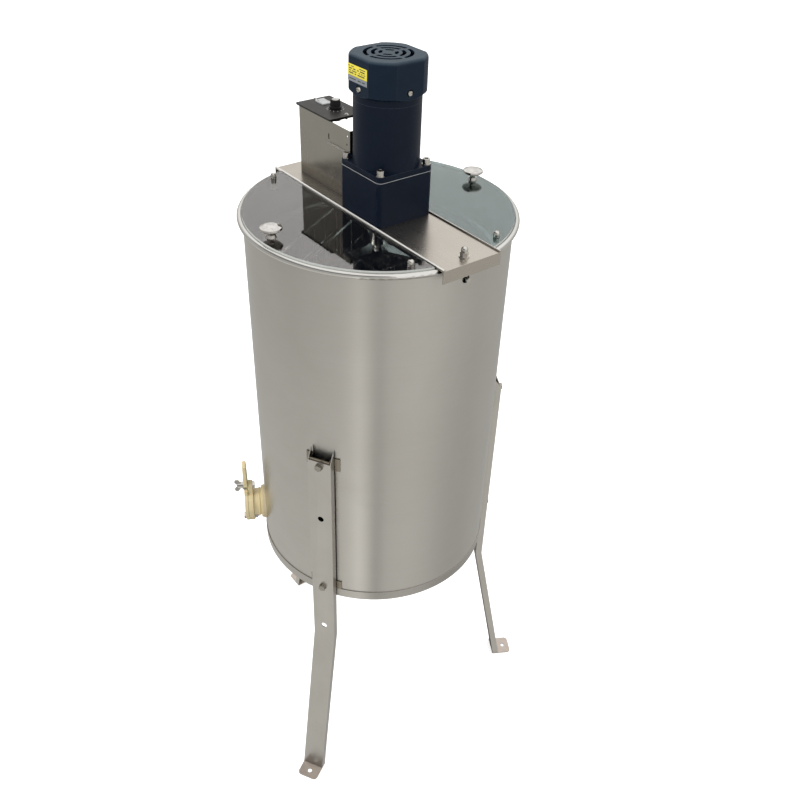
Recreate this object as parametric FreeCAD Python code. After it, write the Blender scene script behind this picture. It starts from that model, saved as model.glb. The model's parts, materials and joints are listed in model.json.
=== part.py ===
"""Electric honey extractor: a steel drum on three legs, a gearmotor on a bridge, and a spinning frame basket.

Millimetres. The origin is on the floor under the drum's axis, +Z is up and the bridge runs along X.
Pieces that stand on the drum wall are built on the +X side and then turned to their azimuth.
"""
import FreeCAD, Part
import math
import os

V = FreeCAD.Vector
Z_AXIS = V(0, 0, 1)
X_AXIS = V(1, 0, 0)
Y_AXIS = V(0, 1, 0)

# --- driving dimensions -------------------------------------------------------
DRUM_R = 190.0             # outside of the drum wall
DRUM_T = 1.2               # sheet thickness
DRUM_BASE_Z = 398.0
RIM_Z = 998.0              # top of the rolled rim
RIM_BEAD_R = 4.2
RIM_BEAD_CENTRE_R = 193.5
SEAM_Z = 414.5             # top of the floor's skirt

LEG_AZIMUTHS = {"left": 180.0, "front": 300.0, "rear": 60.0}
LEG_FACE_R = 203.0         # outside of the leg's web
LEG_HALF_WIDTH = 18.6
LEG_T = 1.5
LEG_DEPTH = 11.2
LEG_BEND_Z = 305.0
LEG_FOOT_R = 264.0
LEG_TOP_Z = 686.0
LEG_BOLT_ZS = (677.5, 423.0)
LEG_SPARE_HOLE_ZS = (573.3, 327.5)
FOOT_T = 2.0
FOOT_END_R = 290.0
FOOT_HOLE_R = 4.0
FOOT_HOLE_PLACE_R = 277.0

BRIDGE_T = 2.0
BRIDGE_Z = RIM_Z + BRIDGE_T
BRIDGE_HALF_LENGTH = 200.5
BRIDGE_HALF_WIDTH = 48.0
HOOK_X = 183.0
HOOK_Z = 971.0

GATE_AZIMUTH = 240.0
GATE_Z = 457.0
GATE_BORE_R = 20.0
GATE_FACE_X = 218.0
GATE_DISC_T = 8.2
GATE_DISC_R = 27.0
FLAP_T = 6.0
GATE_PIVOT_Z = GATE_Z - 31.5
GATE_CLAMP_Z = GATE_Z + 39.0

GEARMOTOR_X = 15.0         # motor axis; the output shaft sits off centre, on the drum's axis
GEARBOX_SIZE = 90.0
GEARBOX_TOP_Z = 1063.0
FLANGE_TOP_Z = 1071.0
MOTOR_R = 45.0
MOTOR_TOP_Z = 1164.0
COVER_R = 50.5
COVER_FLAT = 46.0
COVER_TOP_Z = 1212.0
COVER_SCREW_Z = 1173.0
COVER_SLOTS = ((8.0, 13.0), (17.5, 22.5), (27.5, 32.5))
BOLT_SPACING = 76.0

STAGE1_MODULE = 0.8
STAGE2_MODULE = 1.0
MOTOR_PINION_TEETH = 14
LAY_WHEEL_TEETH = 42
LAY_PINION_TEETH = 14
OUTPUT_TEETH = 28
BACKLASH = 0.16
PRESSURE_ANGLE = math.radians(20.0)

BOX_X0 = -164.0            # control box column
BOX_X1 = -88.0
BOX_Y0 = -24.0
BOX_Y1 = 33.0
BOX_TOP_Z = 1100.0
ARM_X1 = -36.0             # arm that reaches from the box to the motor
ARM_Z = 1069.0
SHEET_T = 1.2
PANEL_TOP_Z = 1102.5
SWITCH_X = -150.0
SWITCH_Y = 9.0
ROCKER_Z = PANEL_TOP_Z - 2.0
KNOB_X = -118.0
KNOB_Y = 8.0

LID_R = 191.0              # the lids nest on the inner shoulder of the rolled rim
LID_T = 3.0
LID_Z = RIM_Z - 0.7
LID_EDGE_Y = 49.5
LID_KNOB_Y = 174.0
PEG_X = 165.0
PEG_Y = 72.0

SHAFT_R = 8.0              # basket shaft
OUTPUT_SHAFT_R = 7.5
CAGE_AZIMUTHS = (90.0, 210.0, 330.0)
CAGE_Z0 = 455.0
CAGE_Z1 = 930.0
CAGE_HALF_WIDTH = 117.0
CAGE_OUTER_X = 124.0
CAGE_INNER_X = 76.0
SCREEN_T = 2.5
SPIDER_T = 6.0
RING_OUTER_R = 172.5
RING_INNER_R = 165.5

M6 = 3.0                   # shank radii
M5 = 2.5
M4 = 2.0
RUNNING_GAP = 0.05
CLEAR_GAP = 0.3


# --- small makers ---------------------------------------------------------------
def box(x0, x1, y0, y1, z0, z1):
    return Part.makeBox(x1 - x0, y1 - y0, z1 - z0, V(x0, y0, z0))


def rod(r, z0, z1, x=0.0, y=0.0):
    return Part.makeCylinder(r, z1 - z0, V(x, y, z0), Z_AXIS)


def tube(outer, inner, z0, z1, x=0.0, y=0.0):
    return rod(outer, z0, z1, x, y).cut(rod(inner, z0, z1, x, y))


def rod_x(r, x0, x1, y, z):
    return Part.makeCylinder(r, x1 - x0, V(x0, y, z), X_AXIS)


def tube_x(outer, inner, x0, x1, y, z):
    return rod_x(outer, x0, x1, y, z).cut(rod_x(inner, x0, x1, y, z))


def fuse(shapes):
    whole = shapes[0].multiFuse(shapes[1:]) if len(shapes) > 1 else shapes[0]
    return whole.removeSplitter()


def face_of(points):
    return Part.Face(Part.makePolygon([V(*p) for p in points] + [V(*points[0])]))


def plate_xz(points, y0, y1):
    """A plate whose outline lies in the XZ plane."""
    return face_of([(x, y0, z) for x, z in points]).extrude(V(0, y1 - y0, 0))


def revolve(points):
    """A ring from a closed outline of (radius, height) points."""
    return face_of([(r, 0, z) for r, z in points]).revolve(V(0, 0, 0), Z_AXIS, 360)


def hexagon(across_flats, z0, z1, x=0.0, y=0.0):
    corner_r = across_flats / math.sqrt(3.0)
    points = []
    for step in range(6):
        angle = math.radians(60.0 * step)
        points.append((x + corner_r * math.cos(angle), y + corner_r * math.sin(angle), z0))
    return face_of(points).extrude(V(0, 0, z1 - z0))


def lay_along_x(shape, x, y, z):
    """Turn a shape built on the Z axis so that its +Z runs along +X, and move it to a place."""
    turned = shape.copy()
    turned.rotate(V(0, 0, 0), Y_AXIS, 90)
    turned.translate(V(x, y, z))
    return turned


def turned(shape, azimuth):
    out = shape.copy()
    out.rotate(V(0, 0, 0), Z_AXIS, azimuth)
    return out


def rounded_block(half, corner, z0, z1, x=0.0, y=0.0):
    """A square block with rounded upright edges."""
    block = box(x - half, x + half, y - half, y + half, z0, z1)
    upright = [e for e in block.Edges if abs(e.tangentAt(e.FirstParameter).z) > 0.99]
    return block.makeFillet(corner, upright)


def save(name, shapes):
    """Write one node; a list becomes a group of separate solids."""
    whole = shapes if isinstance(shapes, Part.Shape) else Part.makeCompound(list(shapes))
    if not whole.isValid():
        print("INVALID", name)
    whole.exportStep("parts/" + name + ".step")
    print(name, len(whole.Solids), round(whole.Volume / 1000.0, 1), "cm3")


# --- drum -------------------------------------------------------------------------
def hook_hole(azimuth):
    """A keyhole for a hook: round below, narrow above."""
    length = 20.0
    hole = rod_x(6.0, DRUM_R - length / 2, DRUM_R + length / 2, 0, HOOK_Z)
    neck = rod_x(3.6, DRUM_R - length / 2, DRUM_R + length / 2, 0, HOOK_Z + 6.0)
    return turned(hole.fuse(neck), azimuth)


def make_drum():
    bead_z = RIM_Z - RIM_BEAD_R
    wall = tube(DRUM_R, DRUM_R - DRUM_T, DRUM_BASE_Z + 3.0, bead_z)
    bead = Part.makeTorus(RIM_BEAD_CENTRE_R, RIM_BEAD_R, V(0, 0, bead_z), Z_AXIS)
    wall = wall.fuse(bead)
    gate_hole = turned(rod_x(23.0, DRUM_R - 20, DRUM_R + 10, 0, GATE_Z), GATE_AZIMUTH)
    for cutter in (hook_hole(0), hook_hole(180), gate_hole):
        wall = wall.cut(cutter)
    save("drum_wall", wall)

    skirt_r = DRUM_R + 1.2
    centre_z = DRUM_BASE_Z + 20.5
    outline = [(0, centre_z - 1.5), (28, centre_z - 1.5), (186, DRUM_BASE_Z + 1.2), (188, DRUM_BASE_Z),
               (skirt_r, DRUM_BASE_Z), (skirt_r, SEAM_Z), (DRUM_R, SEAM_Z), (DRUM_R, DRUM_BASE_Z + 3.0),
               (186, DRUM_BASE_Z + 3.0), (28, centre_z), (0, centre_z)]
    save("drum_floor", revolve(outline))


def make_foot_bearing():
    base_z = DRUM_BASE_Z + 20.5
    cup = rod(30, base_z, base_z + 2.5).fuse(rod(18, base_z, base_z + 17.5))
    cup = cup.cut(rod(SHAFT_R + RUNNING_GAP, base_z + 9.5, base_z + 17.5))
    cup = cup.cut(rod(4.05, base_z + 1.5, base_z + 9.5))
    save("foot_bearing_cup", cup.removeSplitter())
    save("bearing_ball", Part.makeSphere(4.0, V(0, 0, base_z + 5.5)))


# --- legs --------------------------------------------------------------------------
def make_leg():
    inner_r = LEG_FACE_R - LEG_DEPTH
    foot_inner_r = LEG_FOOT_R - LEG_DEPTH
    flange_top = LEG_TOP_Z + 16.0
    side = [(LEG_FACE_R, LEG_TOP_Z), (LEG_FACE_R, LEG_BEND_Z), (LEG_FOOT_R, FOOT_T),
            (foot_inner_r, FOOT_T), (inner_r, LEG_BEND_Z), (inner_r, flange_top)]
    web = [(LEG_FACE_R, LEG_TOP_Z), (LEG_FACE_R, LEG_BEND_Z), (LEG_FOOT_R, FOOT_T),
           (LEG_FOOT_R - LEG_T, FOOT_T), (LEG_FACE_R - LEG_T, LEG_BEND_Z), (LEG_FACE_R - LEG_T, LEG_TOP_Z)]
    w = LEG_HALF_WIDTH
    leg = fuse([plate_xz(web, -w, w), plate_xz(side, -w, -w + LEG_T), plate_xz(side, w - LEG_T, w)])
    for z in LEG_BOLT_ZS:
        leg = leg.cut(rod_x(M6 + 0.2, LEG_FACE_R - 8, LEG_FACE_R + 8, 0, z))
    for z in LEG_SPARE_HOLE_ZS:
        leg = leg.cut(rod_x(5.0, LEG_FACE_R - 8, LEG_FACE_R + 8, 0, z))
    return leg


def make_foot():
    w = LEG_HALF_WIDTH
    plate = box(LEG_FOOT_R - LEG_DEPTH - 1, FOOT_END_R, -w, w, 0, FOOT_T)
    corners = [e for e in plate.Edges
               if abs(e.tangentAt(e.FirstParameter).z) > 0.99 and e.CenterOfMass.x > LEG_FOOT_R]
    plate = plate.makeFillet(7.0, corners)
    return plate.cut(rod(FOOT_HOLE_R, -1, FOOT_T + 1, FOOT_HOLE_PLACE_R))


def make_bracket(z0, z1, bolt_z):
    """A hat-shaped bracket: a bridge behind the leg's web and two ears on the drum wall."""
    w = LEG_HALF_WIDTH - LEG_T - 1.0
    ear = 27.0
    back_x = LEG_FACE_R - LEG_T
    top = box(back_x - LEG_T, back_x, -w, w, z0, z1)
    sides = [box(DRUM_R - 6, back_x, s, s + LEG_T, z0, z1) for s in (-w, w - LEG_T)]
    skin = tube(DRUM_R + LEG_T, DRUM_R, z0, z1)
    ears = [skin.common(box(DRUM_R - 20, DRUM_R + 20, y0, y1, z0, z1))
            for y0, y1 in ((-ear, -w + LEG_T), (w - LEG_T, ear))]
    hat = fuse([top] + sides + ears).cut(rod(DRUM_R, z0 - 1, z1 + 1))
    return hat.cut(rod_x(M6 + 0.2, back_x - 8, back_x + 8, 0, bolt_z))


def make_leg_bolt(z):
    """A hex bolt through the leg and its bracket, with its nut behind."""
    face = LEG_FACE_R
    plate_back = LEG_FACE_R - 2 * LEG_T
    head = lay_along_x(hexagon(10, 0, 4), face + 1.2, 0, z)
    washer = tube_x(6.0, M6 + 0.1, face, face + 1.2, 0, z)
    bolt = fuse([head, rod_x(M6, plate_back - 7, face + 1.2, 0, z)])
    nut = lay_along_x(hexagon(10, -5, 0).cut(rod(M6 + 0.02, -6, 1)), plate_back, 0, z)
    return [bolt, washer, nut]


def make_legs():
    leg = make_leg()
    feet = []
    brackets = []
    fasteners = []
    bracket_spans = ((667.0, 690.0), (SEAM_Z + 0.5, 432.0))
    for name, azimuth in LEG_AZIMUTHS.items():
        save("leg_" + name, turned(leg, azimuth))
        feet.append(turned(make_foot(), azimuth))
        for (z0, z1), bolt_z in zip(bracket_spans, LEG_BOLT_ZS):
            brackets.append(turned(make_bracket(z0, z1, bolt_z), azimuth))
            fasteners += [turned(s, azimuth) for s in make_leg_bolt(bolt_z)]
    save("foot_plates", feet)
    save("leg_brackets", brackets)
    save("leg_bolts", fasteners)


# --- honey gate ---------------------------------------------------------------------
def make_gate_body():
    disc_x = GATE_FACE_X - GATE_DISC_T
    barrel = rod_x(23.4, 196, disc_x + 1, 0, GATE_Z)
    neck = rod_x(22.5, 175, 197, 0, GATE_Z)
    flange = rod_x(28.0, 193, 196.5, 0, GATE_Z)
    bead = rod_x(24.8, 198.6, 200.4, 0, GATE_Z)
    disc = rod_x(GATE_DISC_R, disc_x, GATE_FACE_X, 0, GATE_Z)
    lugs = [rod_x(8.5, disc_x, GATE_FACE_X, 0, z) for z in (GATE_PIVOT_Z, GATE_CLAMP_Z)]
    web = box(disc_x, GATE_FACE_X, -8.5, 8.5, GATE_PIVOT_Z, GATE_CLAMP_Z)
    body = fuse([neck, flange, barrel, bead, disc, web] + lugs)
    body = body.cut(rod_x(GATE_BORE_R, 170, 225, 0, GATE_Z))
    for z in (GATE_PIVOT_Z, GATE_CLAMP_Z):
        body = body.cut(rod_x(M6 + 0.1, 195, 225, 0, z))
    return body


def make_gate_seals():
    """The outer gasket and the inner one, each shaped to the round wall."""
    outer = tube_x(29.0, 22.6, 180, 193, 0, GATE_Z).cut(rod(DRUM_R, GATE_Z - 60, GATE_Z + 60))
    inner = tube_x(29.5, 22.6, 185.8, 195, 0, GATE_Z).common(rod(DRUM_R - DRUM_T, GATE_Z - 60, GATE_Z + 60))
    return [outer, inner]


def make_gate_ring_nut():
    nut = tube_x(31.0, 22.55, 178.1, 185.8, 0, GATE_Z)
    for step in range(8):
        angle = 2 * math.pi * step / 8
        y = 31.0 * math.cos(angle)
        z = GATE_Z + 31.0 * math.sin(angle)
        nut = nut.cut(rod_x(3.6, 176, 187, y, z))
    return nut


def make_gate_bolts():
    """The pivot bolt with its nut, and the long clamp bolt with its washer."""
    front = GATE_FACE_X + 2 * CLEAR_GAP + FLAP_T
    back = GATE_FACE_X - GATE_DISC_T
    pivot_head = lay_along_x(hexagon(10, 0, 4), front, 0, GATE_PIVOT_Z)
    pivot = fuse([pivot_head, rod_x(M6, back - 8, front, 0, GATE_PIVOT_Z)])
    pivot_nut = lay_along_x(hexagon(10, -5, 0).cut(rod(M6 + 0.02, -6, 1)), back, 0, GATE_PIVOT_Z)
    clamp_head = lay_along_x(hexagon(10, -4, 0), back, 0, GATE_CLAMP_Z)
    clamp = fuse([clamp_head, rod_x(M6, back - 1, front + 12, 0, GATE_CLAMP_Z)])
    washer = tube_x(8.0, M6 + 0.1, front, front + 1.5, 0, GATE_CLAMP_Z)
    return [pivot, pivot_nut, clamp, washer]


def make_gate_flap():
    """The sliding door: a disc, a pivot lug and a handle that hooks round the clamp bolt."""
    x0 = GATE_FACE_X + CLEAR_GAP
    x1 = x0 + FLAP_T
    disc = rod_x(GATE_DISC_R, x0, x1, 0, GATE_Z)
    lug = rod_x(8.5, x0, x1, 0, GATE_PIVOT_Z)
    handle_points = [(-20, 10), (-17, 45), (-12, 78), (-8, 86), (2, 88), (8, 84), (11, 48), (12, 10)]
    handle_face = face_of([(x0, y, GATE_Z + v) for y, v in handle_points])
    handle = handle_face.extrude(V(x1 - x0, 0, 0))
    slot_r = GATE_CLAMP_Z - GATE_PIVOT_Z
    slot = tube_x(slot_r + 4.2, slot_r - 4.2, x0 - 1, x1 + 1, 0, GATE_PIVOT_Z)
    slot = slot.common(box(x0 - 2, x1 + 2, 0, 60, GATE_Z - 20, GATE_Z + 60))
    slot = slot.fuse(rod_x(4.2, x0 - 1, x1 + 1, 0, GATE_CLAMP_Z))
    web = box(x0, x1, -8.5, 8.5, GATE_PIVOT_Z, GATE_Z)
    flap = fuse([disc, lug, web, handle]).cut(slot)
    return flap.cut(rod_x(M6 + RUNNING_GAP, x0 - 1, x1 + 1, 0, GATE_PIVOT_Z))


def make_wing_nut():
    x0 = GATE_FACE_X + 3 * CLEAR_GAP + FLAP_T + 1.5
    hub = lay_along_x(Part.makeCone(6.0, 4.6, 8.0), x0, 0, GATE_CLAMP_Z)
    wings = []
    for side in (1, -1):
        tip = Part.makeCylinder(4.2, 2.2, V(x0 + 9.5, -1.1, GATE_CLAMP_Z + side * 8.2), Y_AXIS)
        web = plate_xz([(x0 + 2, GATE_CLAMP_Z), (x0 + 2, GATE_CLAMP_Z + side * 5.4),
                        (x0 + 8, GATE_CLAMP_Z + side * 11), (x0 + 12, GATE_CLAMP_Z + side * 5.2),
                        (x0 + 8, GATE_CLAMP_Z)], -1.1, 1.1)
        wings += [tip, web]
    nut = fuse([hub] + wings)
    bore = rod_x(M6 + RUNNING_GAP, x0 - 1, x0 + 25, 0, GATE_CLAMP_Z)
    return nut.cut(bore)


def make_gate():
    save("gate_body", turned(make_gate_body(), GATE_AZIMUTH))
    save("gate_gaskets", [turned(s, GATE_AZIMUTH) for s in make_gate_seals()])
    save("gate_ring_nut", turned(make_gate_ring_nut(), GATE_AZIMUTH))
    save("gate_bolts", [turned(s, GATE_AZIMUTH) for s in make_gate_bolts()])
    save("gate_flap", turned(make_gate_flap(), GATE_AZIMUTH))
    save("gate_wing_nut", turned(make_wing_nut(), GATE_AZIMUTH))


# --- bridge ---------------------------------------------------------------------------
def make_bridge():
    w = BRIDGE_HALF_WIDTH
    lip_x = 178.0
    plate = box(-BRIDGE_HALF_LENGTH, BRIDGE_HALF_LENGTH, -w, w, RIM_Z, BRIDGE_Z)
    lips = [box(-lip_x, lip_x, y, y + 1.5, RIM_Z - 8, RIM_Z + 1) for y in (-w, w - 1.5)]
    ends = [box(x, x + 1.5, -w, w, RIM_Z - 16, RIM_Z + 1)
            for x in (-BRIDGE_HALF_LENGTH, BRIDGE_HALF_LENGTH - 1.5)]
    hem_r = 1.35
    hems = []
    for y in (-w + hem_r, w - hem_r):
        hems.append(box(-BRIDGE_HALF_LENGTH, BRIDGE_HALF_LENGTH, y - hem_r, y + hem_r, RIM_Z + 1, BRIDGE_Z + 0.9))
        hems.append(rod_x(hem_r, -BRIDGE_HALF_LENGTH, BRIDGE_HALF_LENGTH, y, BRIDGE_Z + 0.9))
    bridge = fuse([plate] + lips + ends + hems)
    bridge = bridge.cut(rod(14.5, RIM_Z - 1, BRIDGE_Z + 1))
    for x in (-HOOK_X, HOOK_X):
        bridge = bridge.cut(rod(M6 + 0.2, RIM_Z - 1, BRIDGE_Z + 1, x))
    save("bridge_plate", bridge)

    hooks = []
    nuts = []
    bend = 5.0
    for azimuth in (0, 180):
        upright = rod(M6, HOOK_Z + bend, BRIDGE_Z + 9, HOOK_X)
        elbow = Part.makeTorus(bend, M6, V(HOOK_X + bend, 0, HOOK_Z + bend), Y_AXIS)
        elbow = elbow.common(box(HOOK_X - 4, HOOK_X + bend, -4, 4, HOOK_Z - 4, HOOK_Z + bend))
        tip = rod_x(M6, HOOK_X + bend, DRUM_R + 5.5, 0, HOOK_Z)
        hooks.append(turned(fuse([upright, elbow, tip]), azimuth))
        washer = tube(7.0, M6 + 0.1, BRIDGE_Z, BRIDGE_Z + 1.2, HOOK_X)
        dome = Part.makeSphere(4.7, V(HOOK_X, 0, BRIDGE_Z + 9.5))
        dome = dome.fuse(rod(4.7, BRIDGE_Z + 5, BRIDGE_Z + 9.5, HOOK_X))
        nut = fuse([hexagon(10, BRIDGE_Z + 1.2, BRIDGE_Z + 7, HOOK_X), dome])
        nut = nut.cut(rod(M6 + 0.02, BRIDGE_Z, BRIDGE_Z + 9.2, HOOK_X))
        nuts += [turned(washer, azimuth), turned(nut, azimuth)]
    save("hook_bolts", hooks)
    save("acorn_nuts", nuts)


# --- gears -----------------------------------------------------------------------------
def involute(angle):
    return math.tan(angle) - angle


def gear(teeth, module, z0, z1, x, y, first_tooth):
    """A spur gear with involute flanks; first_tooth is the direction of one tooth, in radians."""
    pitch_r = teeth * module / 2.0
    base_r = pitch_r * math.cos(PRESSURE_ANGLE)
    tip_r = pitch_r + 0.95 * module
    root_r = pitch_r - 1.25 * module
    half_at_pitch = (math.pi * module / 2.0 - BACKLASH) / (2.0 * pitch_r)
    half_at_base = half_at_pitch + involute(PRESSURE_ANGLE)
    flank = [(root_r, half_at_base * 0.92)]
    start_r = max(base_r, root_r + 0.05)
    for step in range(4):
        r = start_r + (tip_r - start_r) * step / 3.0
        flank.append((r, half_at_base - involute(math.acos(min(1.0, base_r / r)))))
    points = []
    for tooth in range(teeth):
        centre = first_tooth + 2 * math.pi * tooth / teeth
        sides = [(r, -half) for r, half in flank] + [(r, half) for r, half in reversed(flank)]
        for r, offset in sides:
            angle = centre + offset
            points.append((x + r * math.cos(angle), y + r * math.sin(angle), z0))
    return face_of(points).extrude(V(0, 0, z1 - z0))


def lay_shaft_place():
    """Where the lay shaft stands so that both gear pairs are at their centre distances."""
    to_motor = STAGE1_MODULE * (MOTOR_PINION_TEETH + LAY_WHEEL_TEETH) / 2.0
    to_output = STAGE2_MODULE * (LAY_PINION_TEETH + OUTPUT_TEETH) / 2.0
    x = (to_output ** 2 - to_motor ** 2 + GEARMOTOR_X ** 2) / (2.0 * GEARMOTOR_X)
    return x, math.sqrt(to_output ** 2 - x ** 2)


def make_gear_train():
    lay_x, lay_y = lay_shaft_place()
    from_motor = math.atan2(lay_y, lay_x - GEARMOTOR_X)
    from_output = math.atan2(lay_y, lay_x)
    pinion = gear(MOTOR_PINION_TEETH, STAGE1_MODULE, 1042, 1054, GEARMOTOR_X, 0, from_motor)
    neck = rod(4.4, 1053.5, 1060, GEARMOTOR_X)
    shaft = rod(5.0, 1060, 1196, GEARMOTOR_X)
    save("motor_shaft", fuse([pinion, neck, shaft]))

    wheel_gap = from_motor + math.pi + math.pi / LAY_WHEEL_TEETH
    wheel = gear(LAY_WHEEL_TEETH, STAGE1_MODULE, 1044, 1052, lay_x, lay_y, wheel_gap)
    pinion_gap = from_output + math.pi + math.pi / LAY_PINION_TEETH
    lay_pinion = gear(LAY_PINION_TEETH, STAGE2_MODULE, 1023, 1044.5, lay_x, lay_y, pinion_gap)
    lay_shaft = rod(4.0, 1012.5, 1066.5, lay_x, lay_y)
    save("lay_gears", fuse([wheel, lay_pinion, lay_shaft]))

    output_gear = gear(OUTPUT_TEETH, STAGE2_MODULE, 1024, 1034, 0, 0, from_output)
    save("output_gear", output_gear.cut(rod(OUTPUT_SHAFT_R + 0.02, 1020, 1040)))
    save("output_shaft", rod(OUTPUT_SHAFT_R, 963, 1038))


# --- gearbox ----------------------------------------------------------------------------
def corner_places(spacing):
    half = spacing / 2.0
    return [(GEARMOTOR_X + sx * half, sy * half) for sx in (-1, 1) for sy in (-1, 1)]


def make_gearbox():
    half = GEARBOX_SIZE / 2.0
    lay_x, lay_y = lay_shaft_place()
    case = rounded_block(half, 7.0, BRIDGE_Z, GEARBOX_TOP_Z, GEARMOTOR_X)
    case = case.cut(rounded_block(half - 4, 4.0, BRIDGE_Z + 10, GEARBOX_TOP_Z + 1, GEARMOTOR_X))
    bosses = [rod(18, BRIDGE_Z + 9, BRIDGE_Z + 21), rod(8, BRIDGE_Z + 9, BRIDGE_Z + 21, lay_x, lay_y)]
    posts = [rod(6.5, BRIDGE_Z + 9, GEARBOX_TOP_Z, x, y) for x, y in corner_places(BOLT_SPACING)]
    case = fuse([case] + bosses + posts)
    case = case.cut(rod(14.02, BRIDGE_Z - 1, BRIDGE_Z + 22))
    case = case.cut(rod(6.02, BRIDGE_Z + 11, BRIDGE_Z + 22, lay_x, lay_y))
    for x, y in corner_places(BOLT_SPACING):
        case = case.cut(rod(M6 + 0.1, BRIDGE_Z + 4, GEARBOX_TOP_Z + 1, x, y))
    save("gearbox_case", case)

    flange = rounded_block(half, 7.0, GEARBOX_TOP_Z, FLANGE_TOP_Z, GEARMOTOR_X)
    flange = flange.fuse(rod(20, FLANGE_TOP_Z - 1, FLANGE_TOP_Z + 8, GEARMOTOR_X))
    flange = flange.cut(rod(13.02, GEARBOX_TOP_Z + 3, FLANGE_TOP_Z + 9, GEARMOTOR_X))
    flange = flange.cut(rod(8.0, GEARBOX_TOP_Z - 1, FLANGE_TOP_Z, GEARMOTOR_X))
    flange = flange.cut(rod(6.02, GEARBOX_TOP_Z - 1, GEARBOX_TOP_Z + 5, lay_x, lay_y))
    for x, y in corner_places(BOLT_SPACING):
        flange = flange.cut(rod(M6 + 0.1, GEARBOX_TOP_Z - 1, FLANGE_TOP_Z + 1, x, y))
    save("gearbox_flange", flange.removeSplitter())

    gap = RUNNING_GAP
    bearings = [tube(14.0, OUTPUT_SHAFT_R + gap, BRIDGE_Z + 1, BRIDGE_Z + 10),
                tube(14.0, OUTPUT_SHAFT_R + gap, BRIDGE_Z + 12, BRIDGE_Z + 21),
                tube(6.0, 4.0 + gap, BRIDGE_Z + 12, BRIDGE_Z + 21, lay_x, lay_y),
                tube(6.0, 4.0 + gap, GEARBOX_TOP_Z, GEARBOX_TOP_Z + 4, lay_x, lay_y)]
    save("gearbox_bearings", bearings)

    bolts = []
    for x, y in corner_places(BOLT_SPACING):
        head = rod(5.0, FLANGE_TOP_Z + 1, FLANGE_TOP_Z + 8, x, y)
        head = head.cut(hexagon(5, FLANGE_TOP_Z + 4, FLANGE_TOP_Z + 9, x, y))
        bolts.append(fuse([head, rod(M6, BRIDGE_Z + 6, FLANGE_TOP_Z + 1, x, y)]))
        bolts.append(tube(6.0, M6 + 0.1, FLANGE_TOP_Z, FLANGE_TOP_Z + 1, x, y))
    save("gearbox_bolts", bolts)


# --- motor --------------------------------------------------------------------------------
def cover_block(r, flat, z0, z1):
    """A round block with four flats."""
    return rod(r, z0, z1, GEARMOTOR_X).common(
        box(GEARMOTOR_X - flat, GEARMOTOR_X + flat, -flat, flat, z0, z1))


def make_fan_cover():
    cover = cover_block(COVER_R, COVER_FLAT, MOTOR_TOP_Z, COVER_TOP_Z)
    funnel = Part.makeCone(MOTOR_R + 0.4, MOTOR_R + 20.4, 16.0, V(GEARMOTOR_X, 0, MOTOR_TOP_Z), Z_AXIS)
    upper = rod(COVER_R + 5, MOTOR_TOP_Z + 15, COVER_TOP_Z, GEARMOTOR_X)
    cover = cover.common(fuse([funnel, upper]))
    top_edges = [e for e in cover.Edges if e.CenterOfMass.z > COVER_TOP_Z - 0.1]
    cover = cover.makeFillet(5.0, top_edges)
    hollow = cover_block(COVER_R - 2, COVER_FLAT - 2, MOTOR_TOP_Z, COVER_TOP_Z - 3)
    inner_funnel = Part.makeCone(MOTOR_R - 1.6, MOTOR_R + 18.4, 16.0, V(GEARMOTOR_X, 0, MOTOR_TOP_Z), Z_AXIS)
    cover = cover.cut(hollow.common(fuse([inner_funnel, upper])))
    spoke = 2.6
    spokes = fuse([box(GEARMOTOR_X - 40, GEARMOTOR_X + 40, -spoke, spoke, 1200, 1220),
                   box(GEARMOTOR_X - spoke, GEARMOTOR_X + spoke, -40, 40, 1200, 1220)])
    for inner, outer in COVER_SLOTS:
        ring = tube(outer, inner, COVER_TOP_Z - 5, COVER_TOP_Z + 1, GEARMOTOR_X)
        cover = cover.cut(ring.cut(spokes))
    for quarter in range(4):
        hole = rod_x(M4 + 0.1, GEARMOTOR_X + 30, GEARMOTOR_X + 60, 0, COVER_SCREW_Z)
        recess = rod_x(5.6, GEARMOTOR_X + COVER_FLAT - 1.2, GEARMOTOR_X + 60, 0, COVER_SCREW_Z)
        for cutter in (hole, recess):
            cutter.rotate(V(GEARMOTOR_X, 0, 0), Z_AXIS, 90 * quarter)
            cover = cover.cut(cutter)
    return cover


def make_cover_screws():
    screws = []
    for quarter in range(4):
        x = GEARMOTOR_X + COVER_FLAT - 1.2
        head = lay_along_x(Part.makeCone(4.0, 3.0, 2.4), x, 0, COVER_SCREW_Z)
        head = head.cut(box(x + 1.2, x + 3, -3, 3, COVER_SCREW_Z - 0.5, COVER_SCREW_Z + 0.5))
        screw = fuse([head, rod_x(M4, x - 8, x, 0, COVER_SCREW_Z)])
        screw.rotate(V(GEARMOTOR_X, 0, 0), Z_AXIS, 90 * quarter)
        screws.append(screw)
    return screws


def make_fan():
    hub = rod(9, 1172, 1192, GEARMOTOR_X)
    disc = rod(33, 1172, 1173.5, GEARMOTOR_X)
    blades = []
    for step in range(7):
        blade = box(GEARMOTOR_X + 8, GEARMOTOR_X + 33, -0.8, 0.8, 1173, 1190)
        blade.rotate(V(GEARMOTOR_X, 0, 0), Z_AXIS, 360.0 * step / 7)
        blades.append(blade)
    return fuse([hub, disc] + blades).cut(rod(5.02, 1170, 1200, GEARMOTOR_X))


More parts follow.
